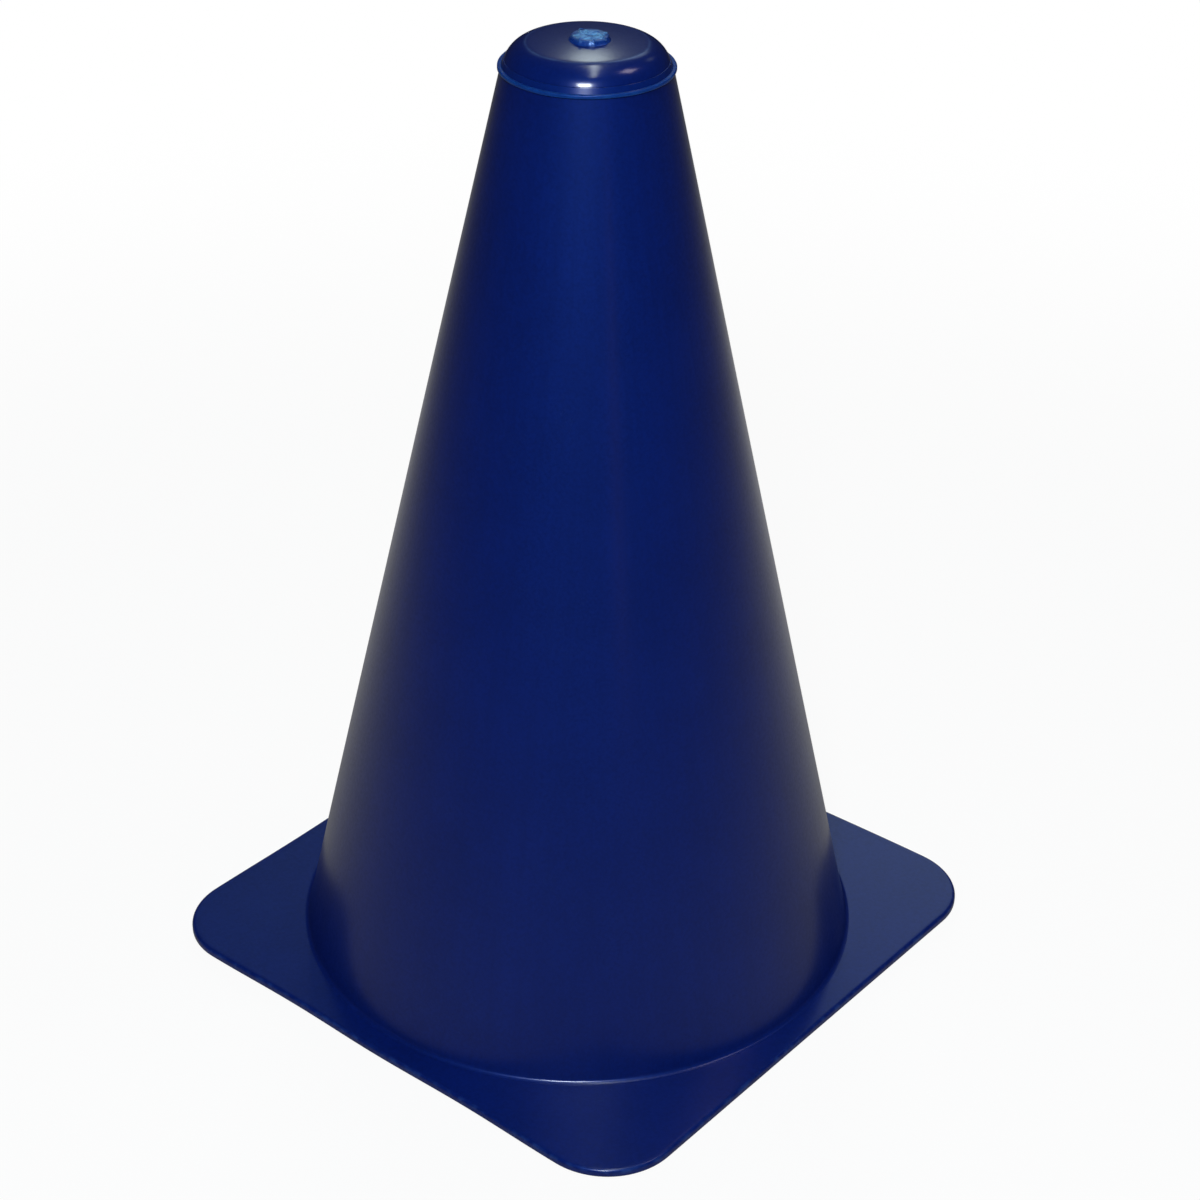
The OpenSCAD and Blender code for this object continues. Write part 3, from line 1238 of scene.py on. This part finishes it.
@dataclass
class CrownTop(Region):
    """Closed top: rounded shoulder, fine ridge and shallow dome, hollowed from below.

    Attributes:
        columns: Points round the axis.
        shoulder_steps: Rows on the shoulder.
        dome_steps: Rows on the dome.
        shoulder: How far the ridge lies inside the crown's foot.
        bulge: How far the shoulder stands off a straight line.
        rim_wide: Width of the narrow rim inside the ridge.
        rim_drop: How far the dome's line lies above the ridge where the rim ends.
        toe: Radius of the crown's lower edge.
        middle: Radius of the innermost ring, which shrinks to the pole.
        worn: Rub on the ridge, partly wear and partly a painted highlight along the ridge line.
        ridge_rub_highlight_wide: Width of that rub and painted highlight.
    """

    name: str = "crown_domed"
    node: str = "crown"
    slot: str = "crown_plastic"
    finish: Plastic = CAP
    columns: int = 360
    shoulder_steps: int = 40
    dome_steps: int = 36
    shoulder: float = 4.35 * MM
    bulge: float = 0.7 * MM
    rim_wide: float = 0.8 * MM
    rim_drop: float = 0.08 * MM
    toe: float = 0.05 * MM
    middle: float = 0.4 * MM
    worn: float = 0.30
    ridge_rub_highlight_wide: float = 0.28 * MM

    def skins(self) -> list[Skin]:
        """Section from the middle of the hollow, out, over the shoulder and ridge, and in to the axis.

        The dome is z = top - fall (r / R)^2, with a narrow rim outside it that falls a little more. The rub
        is w exp(-(d / width)^2), at a distance d from the ridge: real rubbing there, and a painted
        highlight along the ridge line.

        Returns:
            The one closed surface.
        """
        lines, low, ridge = self.lines, self.lines.collar_top, self.lines.ridge
        foot = lines.collar_head - lines.seam
        rim = foot - self.shoulder
        across, _ = lines.inner_middle
        dome_rim = (rim - self.rim_wide, ridge + self.rim_drop)
        dome_r = np.linspace(dome_rim[0], self.middle, self.dome_steps)
        fall = lines.dome_rise - self.rim_drop
        section = np.vstack([
            line((self.middle, lines.hollow_top), (across, lines.hollow_top), steps=8),
            arc(lines.inner_middle, lines.inner_round, TURN / 4.0, lines.inner_bend, steps=14),
            line((lines.inner_at(lines.inner_bend), low), (foot - self.toe, low), steps=3),
            arc((foot - self.toe, low + self.toe), self.toe, -TURN / 4.0, 0.0, steps=4),
            bow((foot, low + self.toe), (rim, ridge), -self.bulge, self.shoulder_steps),
            line((rim, ridge), dome_rim, steps=4),
            np.stack([dome_r, lines.dome_top - fall * (dome_r / dome_rim[0]) ** 2], 1),
        ])
        # Pale rub along the ridge, partly wear and partly a painted highlight.
        off_ridge = np.hypot(section[:, :1] - rim, section[:, 1:] - ridge)
        rub = self.worn * np.exp(-((off_ridge / self.ridge_rub_highlight_wide) ** 2))
        return [Skin(turned(section, angles(self.columns)), False, rub)]


@dataclass
class GateStub(Region):
    """Torn end of the gate: a low wide plug, a ragged crust of pulled plastic, loops and drips.

    Bearings count from the side to which the top leans, anticlockwise seen from above.

    Attributes:
        columns: Points round the axis.
        aside: How far the plug's middle stands off the axis, along the lean and square to it.
        foot: Radius of the plug at the dome.
        neck: Radius of the plug under the crust.
        flare: How far the plug's foot spreads.
        folds: Depth of the folds in the plug's side.
        plug_waves: Waves of those folds in one turn, and their phases.
        side_steps: Rows on the plug's side.
        over_steps: Rows on its upper edge.
        foot_rings: Radius of the rings on its foot, as shares of the foot's.
        top_rings: Radius of the rings on its top, as shares of the top's.
        over_round: Radius of the plug's upper edge.
        sunk: How deep the plug's foot lies under the dome.
        crust: How far the plug's top lies under the stub's top.
        overlap: How far the crust reaches down over the plug.
        thick: Thickness of the crust inside its edge.
        droop: How far the crust's tips hang down, as a share of their reach past droop_from.
        droop_from: Reach from which the tips hang.
        under_steps: Rows on the crust's underside.
        crust_steps: Rows on its upper side.
        roll: Height of the crust's rolled ring.
        roll_uneven: How much that height varies, as a share.
        roll_waves: Waves of that in one turn, and their phases.
        wrinkles: Depths of the folds along and across the crust.
        fold_waves: Waves of the folds along it in one turn, and their phases.
        cross_waves: Waves of the folds across it in a third of a turn, and their phases.
        fray: Depth of the fine waves in the crust's edge.
        fray_waves: Waves of that in one turn, and their phases.
        rim: Bearing in degrees and reach in millimetres of the crust's tips and notches.
        rings: Loops on the crust: place along and square to the lean, half sizes (all in millimetres) and
            turn in degrees.
        thread: Radius of a loop's tube.
        loop_steps: Points along a loop.
        tube_steps: Points round its tube.
        loop_down: How far a loop's middle line lies under the stub's top.
        loop_sway: How far it rises and sinks.
        drips: Drops at the crust's edge: bearing in degrees, reach, height and size in millimetres.
        drip_bulge: How far the plug bulges out at a drip, as a share of the drop's size.
        drip_wide: Angle over which it bulges out.
        drip_long: Height of a drop as a share of its width.
        drip_lean: How far a drop's top leans in, as a share of its height.
        drip_steps: Rows of a drop, and points in a row.
        drip_ends: Angle of its first and last row, as a share of half a turn.
        drip_rub: Rub on a drop.
        plug_rub: Rub on the plug's side, its upper edge and its top.
        crust_rub: Rub under the crust, on it, how much its folds change that, and how much its edge loses.
        margin: How far everything stays under the stub's top.
    """

    name: str = "gate_torn"
    node: str = "gate_stub"
    slot: str = "torn_plastic"
    finish: Plastic = TORN
    crease: float = math.radians(60.0)
    columns: int = 360
    aside: tuple[float, float] = (0.52 * MM, 0.45 * MM)
    foot: float = 4.65 * MM
    neck: float = 4.0 * MM
    flare: float = 0.25 * MM
    folds: float = 0.09 * MM
    plug_waves: Ripple = ((5, 9, 14, 21), (0.5, 2.0, 3.3, 1.1))
    side_steps: int = 18
    over_steps: int = 8
    foot_rings: tuple[float, ...] = (0.3, 0.7)
    top_rings: tuple[float, ...] = (0.75, 0.5, 0.25)
    over_round: float = 0.3 * MM
    sunk: float = 0.35 * MM
    crust: float = 0.45 * MM
    overlap: float = 0.12 * MM
    thick: float = 0.22 * MM
    droop: float = 0.16
    droop_from: float = 3.2 * MM
    under_steps: int = 10
    crust_steps: int = 30
    roll: float = 0.22 * MM
    roll_uneven: float = 0.4
    roll_waves: Ripple = ((3, 7, 12), (0.2, 1.4, 2.9))
    wrinkles: tuple[float, float] = (0.09 * MM, 0.06 * MM)
    fold_waves: Ripple = ((6, 11, 17), (0.0, 1.3, 2.2))
    cross_waves: Ripple = ((1, 2), (0.5, 2.5))
    fray: float = 0.07 * MM
    fray_waves: Ripple = ((23, 41, 67), (0.3, 1.7, 4.0))
    rim: tuple[tuple[float, float], ...] = (
        (15.0, 4.15), (38.0, 2.75), (64.0, 2.55), (99.0, 2.35), (112.0, 3.7), (139.0, 3.5), (170.0, 3.1),
        (185.0, 4.2), (203.0, 3.5), (234.0, 4.15), (246.0, 3.3), (266.0, 3.35), (284.0, 4.15), (304.0, 3.5),
        (324.0, 4.4), (344.0, 3.15),
    )
    rings: tuple[tuple[float, float, float, float, float], ...] = (
        (-1.5, 1.45, 0.75, 1.75, 12.0), (0.5, -1.2, 1.7, 1.0, -8.0), (2.3, 0.2, 1.3, 0.6, 20.0),
    )
    thread: float = 0.13 * MM
    loop_steps: int = 72
    tube_steps: int = 10
    loop_down: float = 0.21 * MM
    loop_sway: float = 0.07 * MM
    drips: tuple[tuple[float, float, float, float], ...] = (
        (237.0, 3.75, 1.1, 0.30), (283.0, 3.85, 0.85, 0.34), (322.0, 3.75, 0.95, 0.30),
    )
    drip_bulge: float = 0.5
    drip_wide: float = 0.13
    drip_long: float = 1.35
    drip_lean: float = 0.3
    drip_steps: tuple[int, int] = (11, 20)
    drip_ends: float = 0.46
    drip_rub: float = 0.35
    plug_rub: tuple[float, float, float] = (0.0, 0.15, 0.5)
    crust_rub: tuple[float, float, float, float] = (0.3, 0.75, 0.5, 0.35)
    margin: float = 0.01 * MM

    def ragged(self, turn: np.ndarray) -> np.ndarray:
        """Reach of the crust at each angle: straight between tips and notches, plus fine waves.

        Args:
            turn: Angles round the axis.

        Returns:
            Array of the shape of turn.
        """
        bearing, reach = np.radians([at for at, _ in self.rim]), np.array([far for _, far in self.rim]) * MM
        fine = self.fray * waves(turn, self.fray_waves)
        return np.interp(turn, bearing, reach, period=TURN) + fine

    def plug(self) -> Skin:
        """Plug: radius falls from foot to neck with folds, bulges out at the drips and rounds over on top.

        Radius = foot - (foot - neck) s + flare (1 - s)^4 + folds w(t) s, for the share s of the height.

        Returns:
            The closed surface.
        """
        turn, low = angles(self.columns), self.lines.dome_top - self.sunk
        high = self.lines.stub_high - self.crust
        share = np.linspace(0.0, 1.0, self.side_steps)[:, None]
        side = self.foot - (self.foot - self.neck) * share + self.flare * (1.0 - share) ** 4
        side = side + self.folds * share * waves(turn, self.plug_waves)
        for bearing, _, _, size in self.drips:
            gap = (turn - math.radians(bearing) + math.pi) % TURN - math.pi
            side = side + self.drip_bulge * size * MM * share * np.exp(-((gap / self.drip_wide) ** 2))
        bend = np.linspace(0.0, TURN / 4.0, self.over_steps + 1)[1:, None]
        over = side[-1:] - self.over_round * (1.0 - np.cos(bend))
        under = np.array(self.foot_rings)[:, None] * side[:1]
        inner = np.array(self.top_rings)[:, None] * over[-1:]
        rise = high - self.over_round - low
        height = np.vstack([
            np.full((len(under), 1), low),
            low + rise * share,
            high - self.over_round * (1.0 - np.sin(bend)),
            np.full((len(inner), 1), high),
        ])
        rub = np.repeat(self.plug_rub, [len(under) + len(side), len(over), len(inner)])[:, None]
        radius = np.vstack([under, side, over, inner])
        return Skin(placed(radius, height, turn), False, rub)

    def torn_crust(self) -> Skin:
        """Crust: thin and flat below, above a rolled ring with a sunken, folded middle, ragged at its edge.

        Upper height = underside + thick (1 - s^8) + roll sin^2(pi s^1.6) + folds (1 - s^8), for the share s
        of the reach. The tips hang down by droop s^6.

        Returns:
            The closed surface.
        """
        turn, low = angles(self.columns), self.lines.stub_high - self.crust - self.overlap
        edge = self.ragged(turn)
        curl = waves(turn, self.roll_waves)
        out = np.linspace(0.12, 1.0, self.under_steps)[:, None]
        back = np.linspace(1.0, 0.05, self.crust_steps)[:, None]
        droop = self.droop * (edge - self.droop_from)
        under = low - droop * out ** 6
        fold = waves(turn + 2.0 * back, self.fold_waves)
        cross = waves(3.0 * turn + 14.0 * back, self.cross_waves)
        rolled = self.roll * np.sin(math.pi * back ** 1.6) ** 2 * (1.0 + self.roll_uneven * curl)
        crumple = self.wrinkles[0] * fold + self.wrinkles[1] * cross
        crumple = crumple * np.sin(math.pi * np.clip(back, 0.08, 1.0)) ** 0.5
        flat = low + self.thick * (1.0 - back ** 8) - droop * back ** 6
        over = flat + rolled + crumple * (1.0 - back ** 8)
        radius = np.vstack([out * edge, back[1:] * edge])
        below, above, folded, lost = self.crust_rub
        torn = np.clip(above + folded * fold[1:] - lost * back[1:] ** 6, 0.0, 1.0)
        rub = np.vstack([np.full(under.shape, below), torn])
        return Skin(placed(radius, np.vstack([under, over[1:]]), turn), False, rub)

    def loop(self, place: Sequence[float], half: Sequence[float], twist: float) -> Skin:
        """Loop of pulled plastic: a tube round an ellipse whose height and thickness waver.

        Args:
            place: Middle of the loop, along and square to the lean.
            half: Half sizes of the ellipse.
            twist: Turn of the ellipse.

        Returns:
            The closed surface.
        """
        run, round_tube = angles(self.loop_steps), angles(self.tube_steps)
        x, y = half[0] * np.cos(run), half[1] * np.sin(run)
        level = self.lines.stub_high - self.loop_down + self.loop_sway * np.cos(2.0 * run + twist)
        path = np.stack([place[0] + x * math.cos(twist) - y * math.sin(twist),
                         place[1] + x * math.sin(twist) + y * math.cos(twist), level], 1)
        away = np.stack([np.cos(run + twist), np.sin(run + twist), 0.0 * run], 1)
        size = self.thread * (0.8 + 0.2 * np.cos(3.0 * run + 1.0))
        up = np.array([0.0, 0.0, 1.0])
        ring = away[:, None] * np.cos(round_tube)[:, None] + up * np.sin(round_tube)[:, None]
        return Skin(path[:, None] + size[:, None, None] * ring, True, np.ones((run.size, round_tube.size)))

    def drop(self, bearing: float, reach: float, height: float, size: float) -> Skin:
        """Drop at the crust's edge: an ellipsoid, longer down the side than across.

        Args:
            bearing: Bearing of its middle.
            reach: Distance of its middle from the plug's.
            height: Level of its middle above the dome's top.
            size: Half its width.

        Returns:
            The closed surface.
        """
        rows, columns = self.drip_steps
        climb = np.linspace(-self.drip_ends, self.drip_ends, rows)[:, None] * math.pi
        points = placed(size * np.cos(climb), self.drip_long * size * np.sin(climb), angles(columns))
        tilt = np.array([math.cos(bearing), math.sin(bearing), 0.0])
        points = points - self.drip_lean * points[..., 2:] * tilt
        at = reach * tilt + np.array([0.0, 0.0, self.lines.dome_top + height])
        return Skin(points + at, False, np.full(points.shape[:2], self.drip_rub))

    def skins(self) -> list[Skin]:
        """Plug, crust, loops and drips, turned to the lean's bearing and kept under the stub's top.

        Returns:
            The closed surfaces.
        """
        made = [self.plug(), self.torn_crust()]
        for along, square, wide, deep, twist in self.rings:
            made.append(self.loop((along * MM, square * MM), (wide * MM, deep * MM), math.radians(twist)))
        for bearing, reach, height, size in self.drips:
            made.append(self.drop(math.radians(bearing), reach * MM, height * MM, size * MM))
        cos, sin = math.cos(self.lean_way), math.sin(self.lean_way)
        for skin in made:
            x, y = skin.points[..., 0] + self.aside[0], skin.points[..., 1] + self.aside[1]
            level = np.minimum(skin.points[..., 2], self.lines.stub_high - self.margin)
            skin.points = np.stack([x * cos - y * sin, x * sin + y * cos, level], -1)
        return made


# Studio


@dataclass(frozen=True)
class Viewpoint:
    """Camera that was fitted to the photograph's outlines.

    Attributes:
        azimuth: Degrees round the axis, 0 looking along +Y.
        elevation: Degrees above the horizon.
        roll: Degrees that the picture is turned.
        distance: From the camera to the point that it looks at.
        focal: Focal length in pixels of the 1200 pixel frame.
        aside: How far that point lies to the right of the axis.
        height: Level of that point.
        frame_width: Width of that frame in pixels.
        sensor: Width of the camera's sensor in millimetres.
    """

    azimuth: float = 39.34
    elevation: float = 31.37
    roll: float = 0.83
    distance: float = 617.2 * MM
    focal: float = 2610.0
    aside: float = 4.57 * MM
    height: float = 91.9 * MM
    frame_width: float = 1200.0
    sensor: float = 36.0

    def axes(self) -> tuple[Vector, Vector, Vector]:
        """Right, up and back of the camera, before its roll.

        Returns:
            Three unit vectors.
        """
        a, e = math.radians(self.azimuth), math.radians(self.elevation)
        back = Vector((math.sin(a) * math.cos(e), -math.cos(a) * math.cos(e), math.sin(e)))
        right = Vector((math.cos(a), math.sin(a), 0.0))
        return right, back.cross(right), back

    def build(self) -> bpy.types.Object:
        """Makes the camera and gives it to the scene.

        Returns:
            The camera.
        """
        right, up, back = self.axes()
        turn = math.radians(self.roll)
        across = math.cos(turn) * right + math.sin(turn) * up
        upward = -math.sin(turn) * right + math.cos(turn) * up
        data = bpy.data.cameras.new("viewpoint")
        data.sensor_width = self.sensor
        data.lens = self.focal / self.frame_width * self.sensor
        camera = bpy.data.objects.new("viewpoint", data)
        place = right * self.aside + Vector((0.0, 0.0, self.height)) + back * self.distance
        turned_to = Matrix((across, upward, back)).transposed().to_4x4()
        camera.matrix_world = Matrix.Translation(place) @ turned_to
        bpy.context.scene.collection.objects.link(camera)
        bpy.context.scene.camera = camera
        return camera

    def way(self, bearing: float, climb: float) -> Vector:
        """Unit vector from the object.

        Args:
            bearing: Degrees to the right of the camera, seen from the camera.
            climb: Degrees above the horizon.

        Returns:
            The direction.
        """
        b, c = math.radians(self.azimuth + bearing), math.radians(climb)
        return Vector((math.sin(b) * math.cos(c), -math.cos(b) * math.cos(c), math.sin(c)))


def area_lamp(name: str, sides: tuple[float, float], power: float, tint: Colour) -> bpy.types.Object:
    """Rectangular lamp that the camera doesn't see.

    Args:
        name: Name of the lamp.
        sides: Length and width of its face.
        power: Its power in watts.
        tint: Colour of its light.

    Returns:
        The lamp, at the origin, with its face down.
    """
    data = bpy.data.lights.new(name, "AREA")
    data.shape = "RECTANGLE"
    data.size, data.size_y = sides
    data.color = tint
    data.energy = power
    lamp = bpy.data.objects.new(name, data)
    lamp.visible_camera = False
    bpy.context.scene.collection.objects.link(lamp)
    return lamp


@dataclass(frozen=True)
class Softbox:
    """A lamp with a plain rectangular face.

    Attributes:
        name: Name of the lamp.
        bearing: Degrees to the right of the camera.
        climb: Degrees above the horizon, seen from the aim point.
        distance: From the aim point.
        width: Width of the face.
        tall: Height of the face.
        level: Light that it gives to a surface square to it at the aim point; 1 shows colours as written.
        tint: Colour of the light.
        mirrored: True if glossy surfaces see the lamp.
    """

    name: str
    bearing: float
    climb: float
    distance: float
    width: float
    tall: float
    level: float
    tint: Colour = WHITE
    mirrored: bool = True

    def build(self, viewpoint: Viewpoint, aim: Vector) -> None:
        """Makes the lamp.

        Args:
            viewpoint: The camera that the bearing counts from.
            aim: Point that the lamp faces.
        """
        # A lamp of power p lights a surface at a distance d by p / (pi d^2), and a level of 1 is pi there.
        power = self.level * (math.pi * self.distance) ** 2
        lamp = area_lamp(self.name, (self.width, self.tall), power, self.tint)
        back = viewpoint.way(self.bearing, self.climb)
        lamp.location = aim + back * self.distance
        lamp.rotation_euler = back.to_track_quat("Z", "Y").to_euler()
        lamp.visible_glossy = self.mirrored


@dataclass(frozen=True)
class CeilingTube:
    """A long lamp under the ceiling that runs along the camera's view.

    Attributes:
        name: Name of the lamp.
        near: Where it starts, counted from the axis away from the camera.
        far: Where it ends.
        aside: How far its start and its end hang to the right of the axis.
        width: Its width.
        glare: Light that each patch of its face sends out, where 1 is white.
        above: Its level above the floor.
        tint: Colour of its light.
    """

    name: str
    near: float
    far: float
    aside: tuple[float, float]
    width: float = 0.09
    glare: float = 8.0
    above: float = 1.23
    tint: Colour = WHITE

    def build(self, viewpoint: Viewpoint) -> None:
        """Makes the lamp, with its face down and its long side along its own line.

        Args:
            viewpoint: The camera whose view the lamp runs along.
        """
        behind, right = viewpoint.way(180.0, 0.0), viewpoint.axes()[0]
        start, end = [away * behind + off * right for away, off in zip((self.near, self.far), self.aside)]
        run = end - start
        # A face of power p and area a sends out p / (pi a).
        power = math.pi * self.glare * run.length * self.width
        lamp = area_lamp(self.name, (run.length, self.width), power, self.tint)
        lamp.location = (start + end) / 2.0 + Vector((0.0, 0.0, self.above))
        lamp.rotation_euler = (0.0, 0.0, math.atan2(run.y, run.x))


@dataclass(frozen=True)
class Card:
    """A pale card of the surroundings that only reflections see.

    Attributes:
        bearing: Degrees to the right of the camera.
        climb: Degrees above the horizon.
        inner: Half angle that is evenly bright.
        outer: Half angle where it ends.
        colour: Colour of its light.
    """

    bearing: float
    climb: float
    inner: float
    outer: float
    colour: Colour


@dataclass(frozen=True)
class Studio:
    """Pale floor, white surroundings, soft lamps and the cards that reflections see.

    Attributes:
        viewpoint: The camera.
        aim: Point that the lamps face.
        ambient: Even light that matt surfaces get from all sides.
        dim: The dark room that reflections see.
        floor_colour: Colour of the matt floor.
        floor_radius: Radius of the round floor.
        floor_rings: Rings of its points.
        floor_columns: Points in a ring.
        floor_drop: How far it lies under the plate, so that the two don't touch.
        fill_near: How far the floor is filled up to white near the object.
        fill_from: Where the fill starts to grow, and where it is full.
        pool: Brightness of the lit pool of floor that reflections see.
        pool_at: Where the pool's middle lies: to the right of the axis and behind it, seen from the camera.
        pool_reach: Distance from that middle at which the pool has faded to a half.
        pool_fall: How steeply it fades.
        lamps: Rectangular lamps.
        tubes: Lamps under the ceiling.
        cards: Pale cards.
    """

    viewpoint: Viewpoint
    aim: tuple[float, float, float] = (0.0, 0.0, 120.0 * MM)
    ambient: float = 0.14
    dim: float = 0.016
    floor_colour: Colour = (0.86, 0.86, 0.86)
    floor_radius: float = 3.0
    floor_rings: int = 11
    floor_columns: int = 96
    floor_drop: float = 0.05 * MM
    fill_near: float = 0.9
    fill_from: tuple[float, float] = (0.25, 0.60)
    pool: float = 0.45
    pool_at: tuple[float, float] = (0.03, 0.30)
    pool_reach: float = 0.28
    pool_fall: float = 2.0
    lamps: tuple[Softbox, ...] = (
        Softbox("flash", -3.0, 40.2, 0.81, 0.17, 0.10, 0.74, (0.90, 0.96, 1.0)),
        Softbox("fill_behind", 180.0, 8.0, 1.10, 0.40, 0.40, 0.45, mirrored=False),
        Softbox("side", 94.6, 59.6, 0.688, 0.15, 0.13, 0.06, (1.0, 0.84, 0.90)),
        Softbox("strip", 23.0, -2.0, 0.70, 0.06, 0.30, 0.002, (1.0, 0.7, 0.6)),
    )
    tubes: tuple[CeilingTube, ...] = (
        CeilingTube("tube_near", -0.50, 0.68, (0.134, 0.040), 0.065, 10.0, tint=(0.90, 1.0, 0.98)),
        CeilingTube("tube_far", 1.85, 2.25, (-0.006, -0.006), 0.090, 6.5, tint=(0.86, 1.0, 0.98)),
    )
    cards: tuple[Card, ...] = (
        Card(169.5, 34.0, 2.0, 9.5, (0.78, 1.02, 1.20)),
        Card(190.5, 35.0, 2.0, 9.0, (0.14, 0.22, 0.24)),
        Card(142.0, 34.0, 1.0, 6.0, (0.40, 0.46, 0.46)),
    )

    def build(self) -> None:
        """Makes the lamps, the world and the floor, and sets the view transform."""
        for lamp in self.lamps:
            lamp.build(self.viewpoint, Vector(self.aim))
        for tube in self.tubes:
            tube.build(self.viewpoint)
        self.world()
        self.floor()
        bpy.context.scene.view_settings.view_transform = "Standard"

    def world(self) -> None:
        """White to the camera, an even light to matt surfaces, and a dark room with pale cards to gloss."""
        world = bpy.data.worlds.new("surroundings")
        bpy.context.scene.world = world
        graph = Graph.cleared(world)
        way = graph.node("ShaderNodeTexCoord").outputs["Generated"]
        path = graph.node("ShaderNodeLightPath").outputs
        seen: Value = (self.dim,) * 3
        for card in self.cards:
            aim = tuple(self.viewpoint.way(card.bearing, card.climb))
            close = graph.measure(Op.DOT_PRODUCT, way, aim)
            mask = graph.step(close, math.cos(math.radians(card.outer)), math.cos(math.radians(card.inner)))
            seen = graph.blend(mask, seen, card.colour)
        colour = graph.blend(path["Is Glossy Ray"], (self.ambient,) * 3, seen)
        direct = graph.calc(Op.MAXIMUM, path["Is Camera Ray"], path["Is Transmission Ray"])
        colour = graph.blend(direct, colour, WHITE)
        shade = graph.node("ShaderNodeBackground", {"Color": colour, "Strength": 1.0})
        graph.node("ShaderNodeOutputWorld", {"Surface": shade.outputs[0]})

    def floor(self) -> bpy.types.Object:
        """Round flat floor, of rings whose radius grows with the square of their number.

        Returns:
            The floor.
        """
        rings = np.linspace(0.0, 1.0, self.floor_rings + 1)[1:, None] ** 2 * self.floor_radius
        points = placed(rings, 0.0 * rings - self.floor_drop, angles(self.floor_columns))
        number = np.arange(points[..., 0].size).reshape(points.shape[:2])
        low, high = number[:-1], number[1:]
        quads = np.stack([low, high, np.roll(high, -1, 1), np.roll(low, -1, 1)], -1)
        faces = quads.reshape(-1, 4).tolist() + [number[0].tolist()]
        mesh = bpy.data.meshes.new("floor")
        mesh.from_pydata(points.reshape(-1, 3).tolist(), [], faces)
        mesh.materials.append(self.floor_matt())
        floor = bpy.data.objects.new("floor", mesh)
        bpy.context.scene.collection.objects.link(floor)
        return floor

    def floor_matt(self) -> bpy.types.Material:
        """Material of the floor: matt, filled up to white for the camera, and a lit pool for gloss.

        The pool's brightness is pool / (1 + (d / reach)^fall) at a distance d from its middle.

        Returns:
            The material.
        """
        made = bpy.data.materials.new("floor_matt")
        graph = Graph.cleared(made)
        path = graph.node("ShaderNodeLightPath").outputs
        where = graph.node("ShaderNodeTexCoord").outputs["Object"]
        grown = graph.step(graph.measure(Op.LENGTH, where), *self.fill_from)
        fill = graph.calc(Op.ADD, graph.calc(Op.MULTIPLY, grown, 1.0 - self.fill_near), self.fill_near)
        right, behind = self.viewpoint.axes()[0], self.viewpoint.way(180.0, 0.0)
        middle = tuple(right * self.pool_at[0] + behind * self.pool_at[1])
        off = graph.calc(Op.DIVIDE, graph.measure(Op.DISTANCE, where, middle), self.pool_reach)
        fade = graph.calc(Op.ADD, graph.calc(Op.POWER, off, self.pool_fall), 1.0)
        matt = graph.node("ShaderNodeBsdfDiffuse", {"Color": self.floor_colour})
        white = graph.node("ShaderNodeEmission", {"Color": WHITE, "Strength": 1.0})
        pool = graph.calc(Op.DIVIDE, self.pool, fade)
        lit = graph.node("ShaderNodeEmission", {"Color": WHITE, "Strength": pool})
        glossy = path["Is Glossy Ray"]
        seen = graph.node("ShaderNodeMixShader", {0: glossy, 1: matt.outputs[0], 2: lit.outputs[0]})
        direct = graph.calc(Op.MAXIMUM, path["Is Camera Ray"], path["Is Transmission Ray"])
        share = graph.calc(Op.MULTIPLY, fill, direct)
        mixed = graph.node("ShaderNodeMixShader", {0: share, 1: seen.outputs[0], 2: white.outputs[0]})
        graph.node("ShaderNodeOutputMaterial", {"Surface": mixed.outputs[0]})
        return made


def main() -> None:
    """Builds the camera, the studio and the six regions, and reports each piece."""
    logging.basicConfig(level=logging.INFO, format="%(message)s", stream=sys.stdout)
    viewpoint = Viewpoint()
    viewpoint.build()
    Studio(viewpoint).build()
    lines = ConeLines.from_frame()
    materials: dict[str, bpy.types.Material] = {}
    for kind in (BasePlate, ConeWall, LipRing, CollarBand, CrownTop, GateStub):
        region = kind(lines)
        piece = region.build()
        region.dress(piece, materials)
        LOG.info("%s: %d faces, %s, for node %s", piece.name, len(piece.data.polygons), region.finish.name,
                 region.node)


if __name__ == "__main__":
    main()
